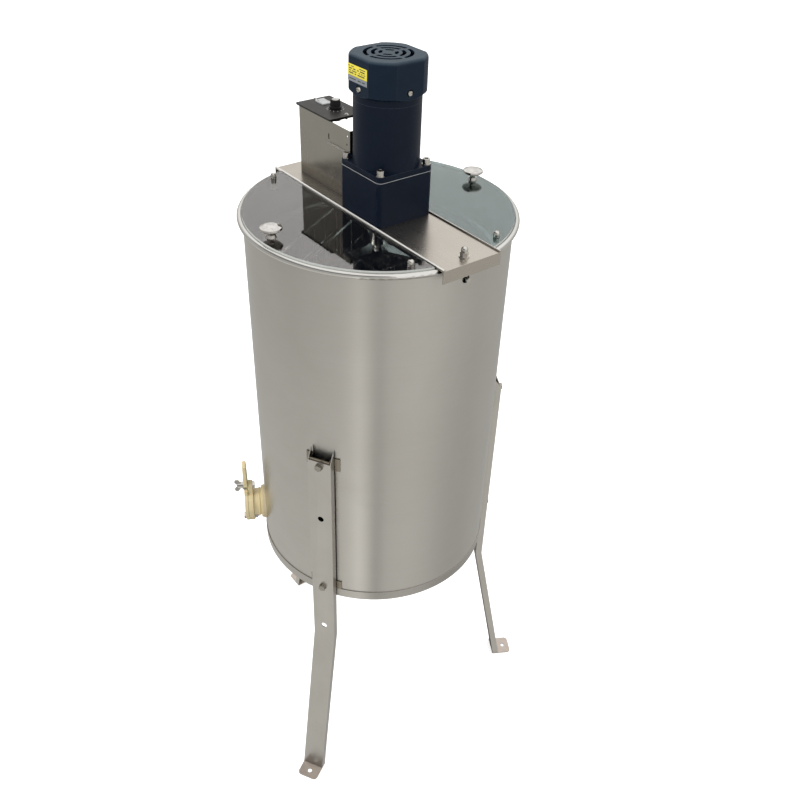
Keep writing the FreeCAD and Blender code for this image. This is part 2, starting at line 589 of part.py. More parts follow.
def make_motor():
    x = GEARMOTOR_X
    save("motor_shell", tube(MOTOR_R, 42.0, FLANGE_TOP_Z, MOTOR_TOP_Z - 8, x))
    cap = rod(MOTOR_R, MOTOR_TOP_Z - 8, MOTOR_TOP_Z, x).cut(rod(38, MOTOR_TOP_Z - 9, MOTOR_TOP_Z - 4, x))
    cap = cap.fuse(rod(16, MOTOR_TOP_Z - 8, MOTOR_TOP_Z - 3, x))
    for quarter in range(4):
        lug = box(x + 36, x + 42.9, -5, 5, MOTOR_TOP_Z - 1, COVER_SCREW_Z + 6)
        lug = lug.cut(rod_x(M4 + 0.05, x + 30, x + 50, 0, COVER_SCREW_Z))
        lug.rotate(V(x, 0, 0), Z_AXIS, 90 * quarter)
        cap = cap.fuse(lug)
    cap = cap.cut(rod(11.02, MOTOR_TOP_Z - 9, MOTOR_TOP_Z - 1, x)).cut(rod(7, MOTOR_TOP_Z - 2, 1166, x))
    save("motor_end_cap", cap.removeSplitter())
    core = tube(41.95, 26.0, 1090, 1140, x)
    for step in range(24):
        slot = box(x + 27.5, x + 36, -1.5, 1.5, 1089, 1141)
        slot.rotate(V(x, 0, 0), Z_AXIS, 15.0 * step)
        core = core.cut(slot)
    save("stator_core", core)
    save("stator_windings", [tube(40, 29, 1082, 1090, x), tube(40, 29, 1140, 1150, x)])
    save("rotor_core", tube(25.4, 5.02, 1091, 1139, x))
    save("motor_bearings", [tube(13.0, 5.05, 1067.5, 1078, x), tube(11.0, 5.05, 1155, 1163, x)])
    save("motor_fan", make_fan())
    save("fan_cover", make_fan_cover())
    save("fan_cover_screws", make_cover_screws())


# --- control box -----------------------------------------------------------------------------
def make_control_box():
    t = SHEET_T
    floor_z = BRIDGE_Z
    front_wall = box(BOX_X0, ARM_X1, BOX_Y0, BOX_Y0 + t, floor_z, BOX_TOP_Z)
    lip_y = BOX_Y0 - 3.6
    ledge = box(BOX_X1, ARM_X1, lip_y, BOX_Y1, ARM_Z, ARM_Z + t)
    gusset = plate_xz([(BOX_X1 + 16, ARM_Z + t), (BOX_X1 + 28, ARM_Z - 7), (ARM_X1 - 8, ARM_Z - 12),
                       (ARM_X1, ARM_Z - 12), (ARM_X1, ARM_Z + t)], lip_y, lip_y + t)
    end_wall = box(BOX_X0, BOX_X0 + t, BOX_Y0, BOX_Y1, floor_z, BOX_TOP_Z)
    inner_wall = box(BOX_X1 - t, BOX_X1, BOX_Y0, BOX_Y1, floor_z, ARM_Z + t)
    base = box(BOX_X0, BOX_X1, BOX_Y0, BOX_Y1, floor_z, floor_z + t)
    back_low = box(BOX_X0, BOX_X1, BOX_Y1 - t, BOX_Y1, floor_z, floor_z + 45)
    back_rail = box(BOX_X0, BOX_X1, BOX_Y1 - t, BOX_Y1, BOX_TOP_Z - 8, BOX_TOP_Z)
    arm_back = box(BOX_X1 - t, ARM_X1, BOX_Y1 - t, BOX_Y1, ARM_Z, BOX_TOP_Z)
    arm_end = box(ARM_X1 - t, ARM_X1, BOX_Y0, BOX_Y1, ARM_Z - 12, BOX_TOP_Z)
    end_tab = box(BOX_X0 - 8, BOX_X0 + t, -8, 24, BOX_TOP_Z - t, BOX_TOP_Z)
    strap = box(BOX_X1 - 6, BOX_X1 + 4, BOX_Y0, BOX_Y1, BOX_TOP_Z - t, BOX_TOP_Z)
    shell = fuse([front_wall, ledge, gusset, end_wall, inner_wall, base, back_low, back_rail,
                  arm_back, arm_end, end_tab, strap])
    shell = shell.cut(rod_x(6.1, ARM_X1 - 10, ARM_X1 + 10, 4.5, 1086))
    for x in (BOX_X0 - 4.5, BOX_X1 - 1.0):
        shell = shell.cut(rod(1.6, BOX_TOP_Z - 5, BOX_TOP_Z + 5, x, 7))
    for z in (1079.5, 1091):
        shell = shell.cut(Part.makeCylinder(1.7, 6, V(ARM_X1 - 7, BOX_Y0 - 3, z), Y_AXIS))
    slot = box(BOX_X1 - 1, BOX_X1 + 1.5, BOX_Y0 - 3, BOX_Y0 + 3, 1074, 1082)
    save("control_box", shell.cut(slot))


def make_panel():
    x0, x1 = BOX_X0 - 8, BOX_X1 + 5
    y0, y1 = BOX_Y0 - 1, BOX_Y1 + 1
    panel = box(x0, x1, y0, y1, BOX_TOP_Z, PANEL_TOP_Z)
    upright = [e for e in panel.Edges if abs(e.tangentAt(e.FirstParameter).z) > 0.99]
    panel = panel.makeFillet(2.5, upright)
    panel = panel.cut(box(SWITCH_X - 9.6, SWITCH_X + 9.6, SWITCH_Y - 6.6, SWITCH_Y + 6.6, 1090, 1110))
    panel = panel.cut(rod(4.7, 1090, 1110, KNOB_X, KNOB_Y))
    screw_xs = (BOX_X0 - 4.5, BOX_X1 - 1.0)
    for x in screw_xs:
        panel = panel.cut(rod(1.6, 1090, 1110, x, 7))
    save("control_panel", panel)
    screws = []
    for x in screw_xs:
        head = Part.makeCone(3.2, 2.2, 1.6, V(x, 7, PANEL_TOP_Z), Z_AXIS)
        head = head.cut(box(x - 2.5, x + 2.5, 6.6, 7.4, PANEL_TOP_Z + 0.9, PANEL_TOP_Z + 2))
        screws.append(fuse([head, rod(1.5, BOX_TOP_Z - 4, PANEL_TOP_Z, x, 7)]))
    save("box_screws", screws)


def make_switch():
    x, y = SWITCH_X, SWITCH_Y
    bezel = box(x - 10.5, x + 10.5, y - 7.5, y + 7.5, PANEL_TOP_Z, PANEL_TOP_Z + 1.6)
    body = box(x - 9.5, x + 9.5, y - 6.5, y + 6.5, 1084, PANEL_TOP_Z)
    shell = fuse([bezel, body])
    shell = shell.cut(box(x - 8.6, x + 8.6, y - 5.6, y + 5.6, 1093, 1110))
    shell = shell.cut(Part.makeCylinder(1.2 + RUNNING_GAP, 12.4, V(x, y - 6.2, ROCKER_Z), Y_AXIS))
    blades = [box(x + s - 0.4, x + s + 0.4, y - 2.4, y + 2.4, 1077, 1084) for s in (-5, 5)]
    save("switch_body", fuse([shell] + blades))

    outline = [(-7.6, 4.6), (0, 3.4), (7.6, 4.6), (7.0, -2.5), (0, -4.5), (-7.0, -2.5)]
    tilt = math.radians(10.0)
    resting = [(x + px * math.cos(tilt) + pz * math.sin(tilt), ROCKER_Z - px * math.sin(tilt) + pz * math.cos(tilt))
               for px, pz in outline]
    paddle = plate_xz(resting, y - 5.2, y + 5.2)
    pin = Part.makeCylinder(1.2, 12.0, V(x, y - 6.0, ROCKER_Z), Y_AXIS)
    save("switch_rocker", fuse([paddle, pin]))


def make_speed_control():
    x, y = KNOB_X, KNOB_Y
    can = rod(8.5, 1087, BOX_TOP_Z, x, y)
    bush = rod(4.5, BOX_TOP_Z - 1, PANEL_TOP_Z + 2.5, x, y)
    pot = fuse([can, bush]).cut(rod(3.0 + RUNNING_GAP, 1091, 1110, x, y))
    nut = hexagon(12, PANEL_TOP_Z, PANEL_TOP_Z + 2, x, y).cut(rod(4.55, 1095, 1110, x, y))
    save("speed_pot", [pot, nut])

    skirt_z = PANEL_TOP_Z + 0.8
    knob = fuse([rod(8.8, skirt_z, skirt_z + 3.2, x, y),
                 Part.makeCone(7.4, 6.6, 10.0, V(x, y, skirt_z + 2.5), Z_AXIS)])
    knob = knob.cut(rod(7.2, skirt_z - 1, skirt_z + 2.0, x, y))
    pointer = box(x - 0.6, x + 0.6, y + 2, y + 8.4, skirt_z + 2.6, skirt_z + 13.0)
    knob = fuse([knob, pointer, rod(3.0, 1092, skirt_z + 6, x, y)])
    save("speed_knob", knob)


def make_electrics():
    """The speed controller board with its parts, the run capacitor and the cable gland."""
    z = BRIDGE_Z + 8.0
    board = box(-160, -112, -19, 28, z, z + 1.6)
    posts = [tube(3.0, 1.3, BRIDGE_Z + SHEET_T, z, px, py) for px in (-156, -116) for py in (-15, 24)]
    for px in (-156, -116):
        for py in (-15, 24):
            board = board.cut(rod(1.6, z - 1, z + 3, px, py))
    sink = fuse([box(-150, -120, -17, -14, z + 1.6, z + 30)]
                + [box(-150 + 6 * k, -148.5 + 6 * k, -15, -6, z + 4, z + 30) for k in range(6)])
    relay = box(-152, -136, 6, 20, z + 1.6, z + 15)
    cans = [rod(5.0, z + 1.6, z + 20, px, 12) for px in (-129, -118)]
    save("controller_board", [board] + posts + [sink, relay] + cans)

    capacitor = fuse([rod(9.5, BRIDGE_Z + SHEET_T, 1055, -99, 6)]
                     + [box(-99 + s - 0.4, -99 + s + 0.4, 3.5, 8.5, 1055, 1062) for s in (-4, 4)])
    save("run_capacitor", capacitor)

    gland = fuse([rod_x(6.0, ARM_X1 - 9, -30.4, 4.5, 1086),
                  lay_along_x(hexagon(16, 0, 3.4), ARM_X1, 4.5, 1086),
                  lay_along_x(hexagon(16, -4.5, 0), ARM_X1 - SHEET_T, 4.5, 1086)])
    save("motor_gland", gland.cut(rod_x(3.2, ARM_X1 - 12, -26, 4.5, 1086)))


# --- lids ----------------------------------------------------------------------------------
def make_lid(side):
    """One half lid with its knob and pegs; side is -1 for the left lid and +1 for the right one."""
    name = "left" if side < 0 else "right"
    y0, y1 = (LID_EDGE_Y, 200) if side > 0 else (-200, -LID_EDGE_Y)
    pane = rod(LID_R, LID_Z, LID_Z + LID_T).common(box(-200, 200, y0, y1, LID_Z - 1, LID_Z + LID_T + 1))
    peg_places = [(-PEG_X, side * PEG_Y), (PEG_X, side * PEG_Y)]
    knob_y = side * LID_KNOB_Y
    pane = pane.cut(rod(M6 + 0.1, LID_Z - 1, LID_Z + 9, 0, knob_y))
    for x, y in peg_places:
        pane = pane.cut(rod(M5 + 0.1, LID_Z - 1, LID_Z + 9, x, y))
    save("lid_" + name, pane)

    top = LID_Z + LID_T
    profile = [(0, top), (7, top), (6, top + 4), (4.2, top + 6), (4.2, top + 9.5), (13.5, top + 10.5),
               (15, top + 12), (14.4, top + 14.5), (9, top + 16.6), (0, top + 17)]
    knob = revolve(profile)
    knob.translate(V(0, knob_y, 0))
    knob = fuse([knob, rod(M6, LID_Z - 7, top + 0.5, 0, knob_y)])
    nut = hexagon(10, LID_Z - 5, LID_Z, 0, knob_y).cut(rod(M6 + 0.02, LID_Z - 8, LID_Z + 1, 0, knob_y))
    save("lid_knob_" + name, [knob, nut])

    pegs = []
    for x, y in peg_places:
        pegs.append(tube(4.75, M5 + 0.05, LID_Z - 15, LID_Z, x, y))
        dome = rod(4.4, top, top + 4.5, x, y).fuse(Part.makeSphere(4.4, V(x, y, top + 4.5)))
        dome = dome.cut(rod(6, top - 9, top, x, y))
        screw = fuse([dome, rod(M5, LID_Z - 15, top + 0.5, x, y), rod(4.0, LID_Z - 17.5, LID_Z - 15, x, y)])
        pegs.append(screw)
    save("lid_pegs_" + name, pegs)


# --- basket -----------------------------------------------------------------------------------
def make_spider(z0, hub_z0, hub_z1):
    """A hub and a ring joined by three bars, which run to the corners between the cages."""
    ring = tube(RING_OUTER_R, RING_INNER_R, z0, z0 + SPIDER_T)
    hub = tube(16, SHAFT_R + 0.02, hub_z0, hub_z1)
    bar = box(10, RING_OUTER_R, -10, 10, z0, z0 + SPIDER_T).common(rod(RING_INNER_R, z0, z0 + SPIDER_T))
    bar = bar.cut(rod(16, z0 - 1, z0 + SPIDER_T + 1))
    return [ring, hub] + [turned(bar, azimuth - 60) for azimuth in CAGE_AZIMUTHS]


def make_screen(x0, columns, rows):
    """A grid screen: a sheet with rows and columns of square windows."""
    border = 9.0
    bar = 3.5
    w = CAGE_HALF_WIDTH
    screen = box(x0, x0 + SCREEN_T, -w, w, CAGE_Z0, CAGE_Z1)
    step_y = (2 * w - 2 * border + bar) / columns
    step_z = (CAGE_Z1 - CAGE_Z0 - 2 * border + bar) / rows
    windows = []
    for column in range(columns):
        for row in range(rows):
            y = -w + border + column * step_y
            z = CAGE_Z0 + border + row * step_z
            windows.append(box(x0 - 1, x0 + SCREEN_T + 1, y, y + step_y - bar, z, z + step_z - bar))
    return screen.cut(Part.makeCompound(windows))


def make_cage():
    """One frame holder: an outer and an inner screen, side straps and a drained tray."""
    inner_x1 = CAGE_INNER_X + SCREEN_T
    outer_x0 = CAGE_OUTER_X - SCREEN_T
    w = CAGE_HALF_WIDTH
    straps = []
    for z in (CAGE_Z0, 682.5, CAGE_Z1 - 20):
        for y in (-w, w - SCREEN_T):
            straps.append(box(inner_x1, outer_x0, y, y + SCREEN_T, z, z + 20))
    tray = box(inner_x1, outer_x0, -w + SCREEN_T, w - SCREEN_T, CAGE_Z0, CAGE_Z0 + 2)
    for step in range(5):
        y = -w + 14 + step * 43
        tray = tray.cut(box(inner_x1 + 8, outer_x0 - 8, y, y + 33, CAGE_Z0 - 1, CAGE_Z0 + 3))
    return [make_screen(outer_x0, 6, 12), make_screen(CAGE_INNER_X, 6, 12), tray] + straps


def make_basket():
    save("basket_shaft", rod(SHAFT_R, DRUM_BASE_Z + 30.1, 962))
    coupling = rod(14, 944, 984).cut(rod(SHAFT_R + 0.02, 940, 962.5)).cut(rod(OUTPUT_SHAFT_R + 0.02, 962, 990))
    screws = []
    for z in (953, 974):
        coupling = coupling.cut(rod_x(M5 + 0.05, 0, 20, 0, z))
        screws.append(rod_x(M5, 8.1, 14.6, 0, z))
    save("shaft_coupling", [coupling] + screws)
    save("upper_spider", make_spider(CAGE_Z1, CAGE_Z1 - 10, CAGE_Z1 + SPIDER_T))
    save("lower_spider", make_spider(CAGE_Z0 - SPIDER_T, CAGE_Z0 - SPIDER_T, CAGE_Z0 + 10))
    for number, azimuth in enumerate(CAGE_AZIMUTHS, start=1):
        save("frame_cage_%d" % number, [turned(s, azimuth) for s in make_cage()])


def main():
    os.makedirs("parts", exist_ok=True)
    make_drum()
    make_foot_bearing()
    make_legs()
    make_gate()
    make_bridge()
    make_gear_train()
    make_gearbox()
    make_motor()
    make_control_box()
    make_panel()
    make_switch()
    make_speed_control()
    make_electrics()
    make_lid(-1)
    make_lid(1)
    make_basket()


main()
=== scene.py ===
"""Electric honey extractor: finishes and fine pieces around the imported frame. Lengths are in metres."""
import bpy, bmesh
import json, math
from mathutils import Matrix, Vector

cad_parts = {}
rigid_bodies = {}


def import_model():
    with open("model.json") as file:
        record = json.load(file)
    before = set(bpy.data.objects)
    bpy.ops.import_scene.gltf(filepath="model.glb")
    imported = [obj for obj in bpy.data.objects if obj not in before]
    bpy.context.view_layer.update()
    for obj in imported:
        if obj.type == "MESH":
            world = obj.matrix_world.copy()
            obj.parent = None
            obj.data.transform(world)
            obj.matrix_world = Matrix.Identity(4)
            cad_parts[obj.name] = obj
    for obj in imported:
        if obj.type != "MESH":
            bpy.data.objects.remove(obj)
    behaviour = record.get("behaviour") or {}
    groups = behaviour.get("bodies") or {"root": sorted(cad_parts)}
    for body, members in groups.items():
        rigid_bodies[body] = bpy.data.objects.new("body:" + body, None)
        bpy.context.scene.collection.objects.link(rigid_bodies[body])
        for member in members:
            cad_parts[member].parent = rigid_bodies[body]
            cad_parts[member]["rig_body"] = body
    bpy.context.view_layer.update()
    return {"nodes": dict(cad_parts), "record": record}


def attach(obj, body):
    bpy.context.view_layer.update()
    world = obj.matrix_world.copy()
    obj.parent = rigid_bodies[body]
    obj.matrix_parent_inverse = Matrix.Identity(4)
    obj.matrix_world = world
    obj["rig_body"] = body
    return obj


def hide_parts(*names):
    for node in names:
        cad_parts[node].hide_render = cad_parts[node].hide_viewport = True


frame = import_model()
NODES = frame["nodes"]
scene = bpy.context.scene

# --- camera ------------------------------------------------------------------------
camera = bpy.data.objects.new("view_camera", bpy.data.cameras.new("view_camera"))
camera.data.lens = 39.89
camera.data.sensor_width = 36.0
camera.data.clip_end = 50.0
right = Vector((0.60709, 0.79408, 0.02970))
up = Vector((-0.48669, 0.34202, 0.80384))
back = Vector((0.62815, -0.50246, 0.59411))
facing = Matrix((right, up, back)).transposed().to_4x4()
camera.matrix_world = Matrix.Translation((0.93103, -0.69405, 1.52100)) @ facing
scene.collection.objects.link(camera)
scene.camera = camera
scene.view_settings.view_transform = "Standard"


# --- node building -----------------------------------------------------------------
def add(tree, kind, inputs=None, **settings):
    """One node; inputs are values or links by socket name or number."""
    node = tree.nodes.new("ShaderNode" + kind)
    for key, value in settings.items():
        setattr(node, key, value)
    for key, value in (inputs or {}).items():
        if isinstance(value, bpy.types.NodeSocket):
            tree.links.new(value, node.inputs[key])
        else:
            node.inputs[key].default_value = value
    return node


def math_node(tree, operation, a, b=0.0):
    """The result of a Math node on two values or links."""
    return add(tree, "Math", {0: a, 1: b}, operation=operation).outputs[0]


def span(tree, value, low, high, to_low=0.0, to_high=1.0):
    """The value carried from one range into another and kept inside it."""
    return add(tree, "MapRange", {0: value, 1: low, 2: high, 3: to_low, 4: to_high}).outputs[0]


def blend_colour(tree, mask, first, second):
    """The first colour where the mask is 0, the second where it is 1."""
    node = add(tree, "Mix", {0: mask}, data_type="RGBA")
    for socket, value in ((node.inputs[6], first), (node.inputs[7], second)):
        if isinstance(value, bpy.types.NodeSocket):
            tree.links.new(value, socket)
        else:
            socket.default_value = value
    return node.outputs[2]


def effect(name, inputs, outputs):
    """A shader node group with named sockets; returns (tree, its inputs, the output node)."""
    tree = bpy.data.node_groups.new(name, "ShaderNodeTree")
    for label, kind, value in inputs:
        socket = tree.interface.new_socket(label, in_out="INPUT", socket_type="NodeSocket" + kind)
        if value is not None:
            socket.default_value = value
    for label, kind in outputs:
        tree.interface.new_socket(label, in_out="OUTPUT", socket_type="NodeSocket" + kind)
    entry = tree.nodes.new("NodeGroupInput")
    return tree, entry.outputs, tree.nodes.new("NodeGroupOutput")


def build_round_axis():
    """Unrolls an upright round wall: arc length, distance from the axis, height."""
    tree, given, out = effect("Unrolled wall", [("Axis X", "Float", 0.0)], [("Place", "Vector")])
    place = add(tree, "SeparateXYZ", {0: add(tree, "TexCoord").outputs["Object"]})
    x = math_node(tree, "SUBTRACT", place.outputs[0], given["Axis X"])
    y = place.outputs[1]
    angle = math_node(tree, "ARCTAN2", y, x)
    squares = math_node(tree, "ADD", math_node(tree, "MULTIPLY", x, x), math_node(tree, "MULTIPLY", y, y))
    reach = math_node(tree, "SQRT", squares)
    arc = math_node(tree, "MULTIPLY", angle, reach)
    joined = add(tree, "CombineXYZ", {0: arc, 1: reach, 2: place.outputs[2]})
    tree.links.new(joined.outputs[0], out.inputs["Place"])
    return tree


def build_brushing():
    """Brushed lines: noise stretched along the direction in which the sheet was ground."""
    tree, given, out = effect(
        "Brushed lines",
        [("Place", "Vector", None), ("Lines per metre", "Vector", (10.0, 900.0, 900.0)),
         ("Contrast", "Float", 0.5)],
        [("Lines", "Float"), ("Height", "Float")])
    factors = {0: given["Place"], 1: given["Lines per metre"]}
    stretched = add(tree, "VectorMath", factors, operation="MULTIPLY").outputs[0]
    fine = add(tree, "TexNoise", {"Vector": stretched, "Scale": 1.0, "Detail": 4.0, "Roughness": 0.7})
    coarse = add(tree, "TexNoise", {"Vector": stretched, "Scale": 0.17, "Detail": 2.0})
    both = math_node(tree, "ADD", math_node(tree, "MULTIPLY", fine.outputs[0], 0.65),
                     math_node(tree, "MULTIPLY", coarse.outputs[0], 0.35))
    spread = math_node(tree, "MULTIPLY", math_node(tree, "SUBTRACT", both, 0.5), given["Contrast"])
    tree.links.new(math_node(tree, "ADD", spread, 0.5), out.inputs["Lines"])
    tree.links.new(both, out.inputs["Height"])
    return tree


def build_worn_and_highlit_edges():
    """A mask that is 1 on sharp edges, broken up by noise: edges worn by hands and tools, and edges given
    a painted highlight.
    """
    tree, given, out = effect("Worn and highlit edges", [("Width", "Float", 0.0006), ("Patchiness", "Float", 0.5)],
                              [("Mask", "Float")])
    soft = add(tree, "Bevel", {"Radius": given["Width"]}, samples=4)
    true = add(tree, "NewGeometry")
    normals = {0: soft.outputs[0], 1: true.outputs["Normal"]}
    agree = add(tree, "VectorMath", normals, operation="DOT_PRODUCT")
    edge = span(tree, agree.outputs["Value"], 0.995, 0.90)
    where = add(tree, "TexCoord").outputs["Object"]
    patches = add(tree, "TexNoise", {"Vector": where, "Scale": 160.0, "Detail": 3.0})
    broken = span(tree, patches.outputs[0], 0.30, 0.62)
    whole = math_node(tree, "SUBTRACT", 1.0, given["Patchiness"])
    kept = math_node(tree, "ADD", whole, math_node(tree, "MULTIPLY", broken, given["Patchiness"]))
    tree.links.new(math_node(tree, "MULTIPLY", edge, kept), out.inputs["Mask"])
    return tree


def build_handling():
    """Soft smudges and dust left by handling."""
    tree, given, out = effect("Handling marks", [("Patch size", "Float", 0.05), ("Amount", "Float", 0.5)],
                              [("Mask", "Float")])
    rate = math_node(tree, "DIVIDE", 1.0, given["Patch size"])
    where = add(tree, "TexCoord").outputs["Object"]
    cloud = add(tree, "TexNoise", {"Vector": where, "Scale": rate, "Detail": 5.0, "Roughness": 0.62,
                                   "Distortion": 0.6})
    mask = math_node(tree, "MULTIPLY", span(tree, cloud.outputs[0], 0.42, 0.72), given["Amount"])
    tree.links.new(mask, out.inputs["Mask"])
    return tree


def build_speckle():
    """Fine grain of a cast, sprayed or moulded skin."""
    tree, given, out = effect("Surface grain", [("Grain size", "Float", 0.0008)], [("Grain", "Float")])
    rate = math_node(tree, "DIVIDE", 1.0, given["Grain size"])
    where = add(tree, "TexCoord").outputs["Object"]
    grain = add(tree, "TexNoise", {"Vector": where, "Scale": rate, "Detail": 2.0, "Roughness": 0.55})
    tree.links.new(grain.outputs[0], out.inputs["Grain"])
    return tree


def build_top_light_mask():
    """A mask for painted light on tops: it grows from 0 on upright faces to 1 on faces that look straight
    up.
    """
    tree, given, out = effect("Painted top light", [("Start", "Float", 0.35)], [("Mask", "Float")])
    parts = add(tree, "SeparateXYZ", {0: add(tree, "NewGeometry").outputs["Normal"]})
    above = math_node(tree, "SUBTRACT", parts.outputs["Z"], given["Start"])
    mask = math_node(tree, "MULTIPLY", math_node(tree, "MAXIMUM", above, 0.0), 1.5)
    tree.links.new(mask, out.inputs["Mask"])
    return tree


def build_crevice_shade():
    """A mask of the narrow gaps where little light gets in, used to paint shade into them."""
    tree, given, out = effect("Painted crevice shade", [("Reach", "Float", 0.02)], [("Mask", "Float")])
    open_air = add(tree, "AmbientOcclusion", {"Distance": given["Reach"]}, samples=6)
    tree.links.new(span(tree, open_air.outputs["AO"], 0.62, 0.12), out.inputs["Mask"])
    return tree


UNROLLED = build_round_axis()
BRUSHED = build_brushing()
WORN_AND_HIGHLIT = build_worn_and_highlit_edges()
HANDLED = build_handling()
GRAIN = build_speckle()
TOP_LIGHT_MASK = build_top_light_mask()
CREVICE_SHADE = build_crevice_shade()


def use(tree, group, **values):
    """Place an effect in a material with its own values; underscores stand for spaces."""
    node = tree.nodes.new("ShaderNodeGroup")
    node.node_tree = group
    for label, value in values.items():
        socket = node.inputs[label.replace("_", " ")]
        if isinstance(value, bpy.types.NodeSocket):
            tree.links.new(value, socket)
        else:
            socket.default_value = value
    return node.outputs


def start(name, **values):
    """A new material; returns (material, tree, its Principled shader) with plain socket values set."""
    material = bpy.data.materials.new(name)
    material.use_nodes = True
    tree = material.node_tree
    shader = tree.nodes["Principled BSDF"]
    for label, value in values.items():
        shader.inputs[label.replace("_", " ")].default_value = value
    return material, tree, shader


def object_place(tree):
    """Where the surface is, in the object's own frame."""
    return add(tree, "TexCoord").outputs["Object"]


def scaled(colour, factor):
    """A colour made lighter or darker, with full alpha."""
    return tuple(c * factor for c in colour[:3]) + (1.0,)


def connect(tree, shader, base, rough, relief):
    """Feed a finish's colour, roughness and relief to its shader."""
    tree.links.new(base, shader.inputs["Base Color"])
    tree.links.new(rough, shader.inputs["Roughness"])
    tree.links.new(relief.outputs[0], shader.inputs["Normal"])


# --- finishes ----------------------------------------------------------------------
# brushed lines per metre along each axis: few along the grain, many across it
ALONG_X = (14.0, 1500.0, 1500.0)
ALONG_Z = (1500.0, 1500.0, 14.0)
BARE_CASTING = (0.10, 0.12, 0.15, 1.0)    # where the enamel is worn through; on edges it also stands for a painted highlight
ACRYLIC_INDEX = 1.92
GEARMOTOR_X = 0.015           # the motor stands this far off the drum's axis


def sheet_steel(name, colour, roughness, lines, bump=0.04, contrast=0.5, stretch=0.0, turn=0.0,
                around=None, edge=0.0004, smudge=0.35, smudge_size=0.07, metal=1.0):
    """Brushed stainless sheet; around is the axis X of a rolled wall, or None for flat sheet."""
    material, tree, shader = start(name, Metallic=metal, Anisotropic=stretch, Anisotropic_Rotation=turn)
    place = object_place(tree) if around is None else use(tree, UNROLLED, Axis_X=around)["Place"]
    brushing = use(tree, BRUSHED, Place=place, Lines_per_metre=lines, Contrast=contrast)
    marks = use(tree, HANDLED, Patch_size=smudge_size, Amount=smudge)["Mask"]
    base = blend_colour(tree, brushing["Lines"], scaled(colour, 0.86), scaled(colour, 1.12))
    base = blend_colour(tree, marks, base, scaled((colour[0], colour[1] * 0.985, colour[2] * 0.95), 0.84))
    # painted shade: the sheet darkens towards an eighth of its colour in crevices and narrow gaps
    base = blend_colour(tree, use(tree, CREVICE_SHADE, Reach=0.022)["Mask"], base, scaled(colour, 0.12))
    rough = span(tree, brushing["Lines"], 0.2, 0.8, roughness - 0.05, roughness + 0.05)
    rough = math_node(tree, "ADD", rough, math_node(tree, "MULTIPLY", marks, 0.10))
    # lighter edges: partly real wear, partly a painted edge highlight
    if edge:
        edge_wear_highlight = use(tree, WORN_AND_HIGHLIT, Width=edge, Patchiness=0.35)["Mask"]
        base = blend_colour(tree, edge_wear_highlight, base, scaled(colour, 1.30))
        rough = math_node(tree, "SUBTRACT", rough, math_node(tree, "MULTIPLY", edge_wear_highlight, 0.10))
    relief = add(tree, "Bump", {"Strength": bump, "Distance": 0.0004, "Height": brushing["Height"]})
    connect(tree, shader, base, rough, relief)
    if stretch:
        tangent = add(tree, "Tangent", direction_type="RADIAL", axis="Z")
        tree.links.new(tangent.outputs[0], shader.inputs["Tangent"])
    return material


def turned_steel(name, colour, roughness):
    """Bright turned or plated small parts."""
    material, tree, shader = start(name, Metallic=1.0)
    brushing = use(tree, BRUSHED, Place=object_place(tree), Lines_per_metre=(900.0, 900.0, 2600.0),
                   Contrast=0.4)
    marks = use(tree, HANDLED, Patch_size=0.006, Amount=0.55)["Mask"]
    edge_wear_highlight = use(tree, WORN_AND_HIGHLIT, Width=0.0003, Patchiness=0.3)["Mask"]
    base = blend_colour(tree, brushing["Lines"], scaled(colour, 0.9), scaled(colour, 1.08))
    base = blend_colour(tree, marks, base, scaled(colour, 0.66))
    # lighter edges: partly real wear, partly a painted edge highlight
    base = blend_colour(tree, edge_wear_highlight, base, scaled(colour, 1.2))
    rough = math_node(tree, "ADD", math_node(tree, "MULTIPLY", marks, 0.16), roughness)
    relief = add(tree, "Bump", {"Strength": 0.05, "Distance": 0.0002, "Height": brushing["Height"]})
    connect(tree, shader, base, rough, relief)
    return material


def enamel(name, colour, roughness, gloss, lit_top=None):
    """Sprayed satin enamel with a slight orange-peel skin; the last argument is the lighter colour painted
    on faces that look up, as painted light from above.
    """
    material, tree, shader = start(name, Specular_IOR_Level=gloss)
    grain = use(tree, GRAIN, Grain_size=0.0011)["Grain"]
    dust = use(tree, HANDLED, Patch_size=0.035, Amount=0.55)["Mask"]
    edge_wear_highlight = use(tree, WORN_AND_HIGHLIT, Width=0.0007, Patchiness=0.55)["Mask"]
    base = blend_colour(tree, grain, scaled(colour, 0.88), scaled(colour, 1.12))
    dusty = (colour[0] * 1.5, colour[1] * 1.42, colour[2] * 1.35, 1.0)
    base = blend_colour(tree, dust, base, dusty)
    # painted light from above: faces that look up are given a lighter colour
    if lit_top:
        base = blend_colour(tree, use(tree, TOP_LIGHT_MASK, Start=0.33)["Mask"], base, lit_top)
    # edges turned towards bare casting: partly real wear, partly a painted edge highlight
    base = blend_colour(tree, math_node(tree, "MULTIPLY", edge_wear_highlight, 0.45), base, BARE_CASTING)
    rough = math_node(tree, "ADD", span(tree, grain, 0.3, 0.7, roughness - 0.04, roughness + 0.04),
                      math_node(tree, "MULTIPLY", dust, 0.10))
    relief = add(tree, "Bump", {"Strength": 0.10, "Distance": 0.0004, "Height": grain})
    connect(tree, shader, base, rough, relief)
    return material


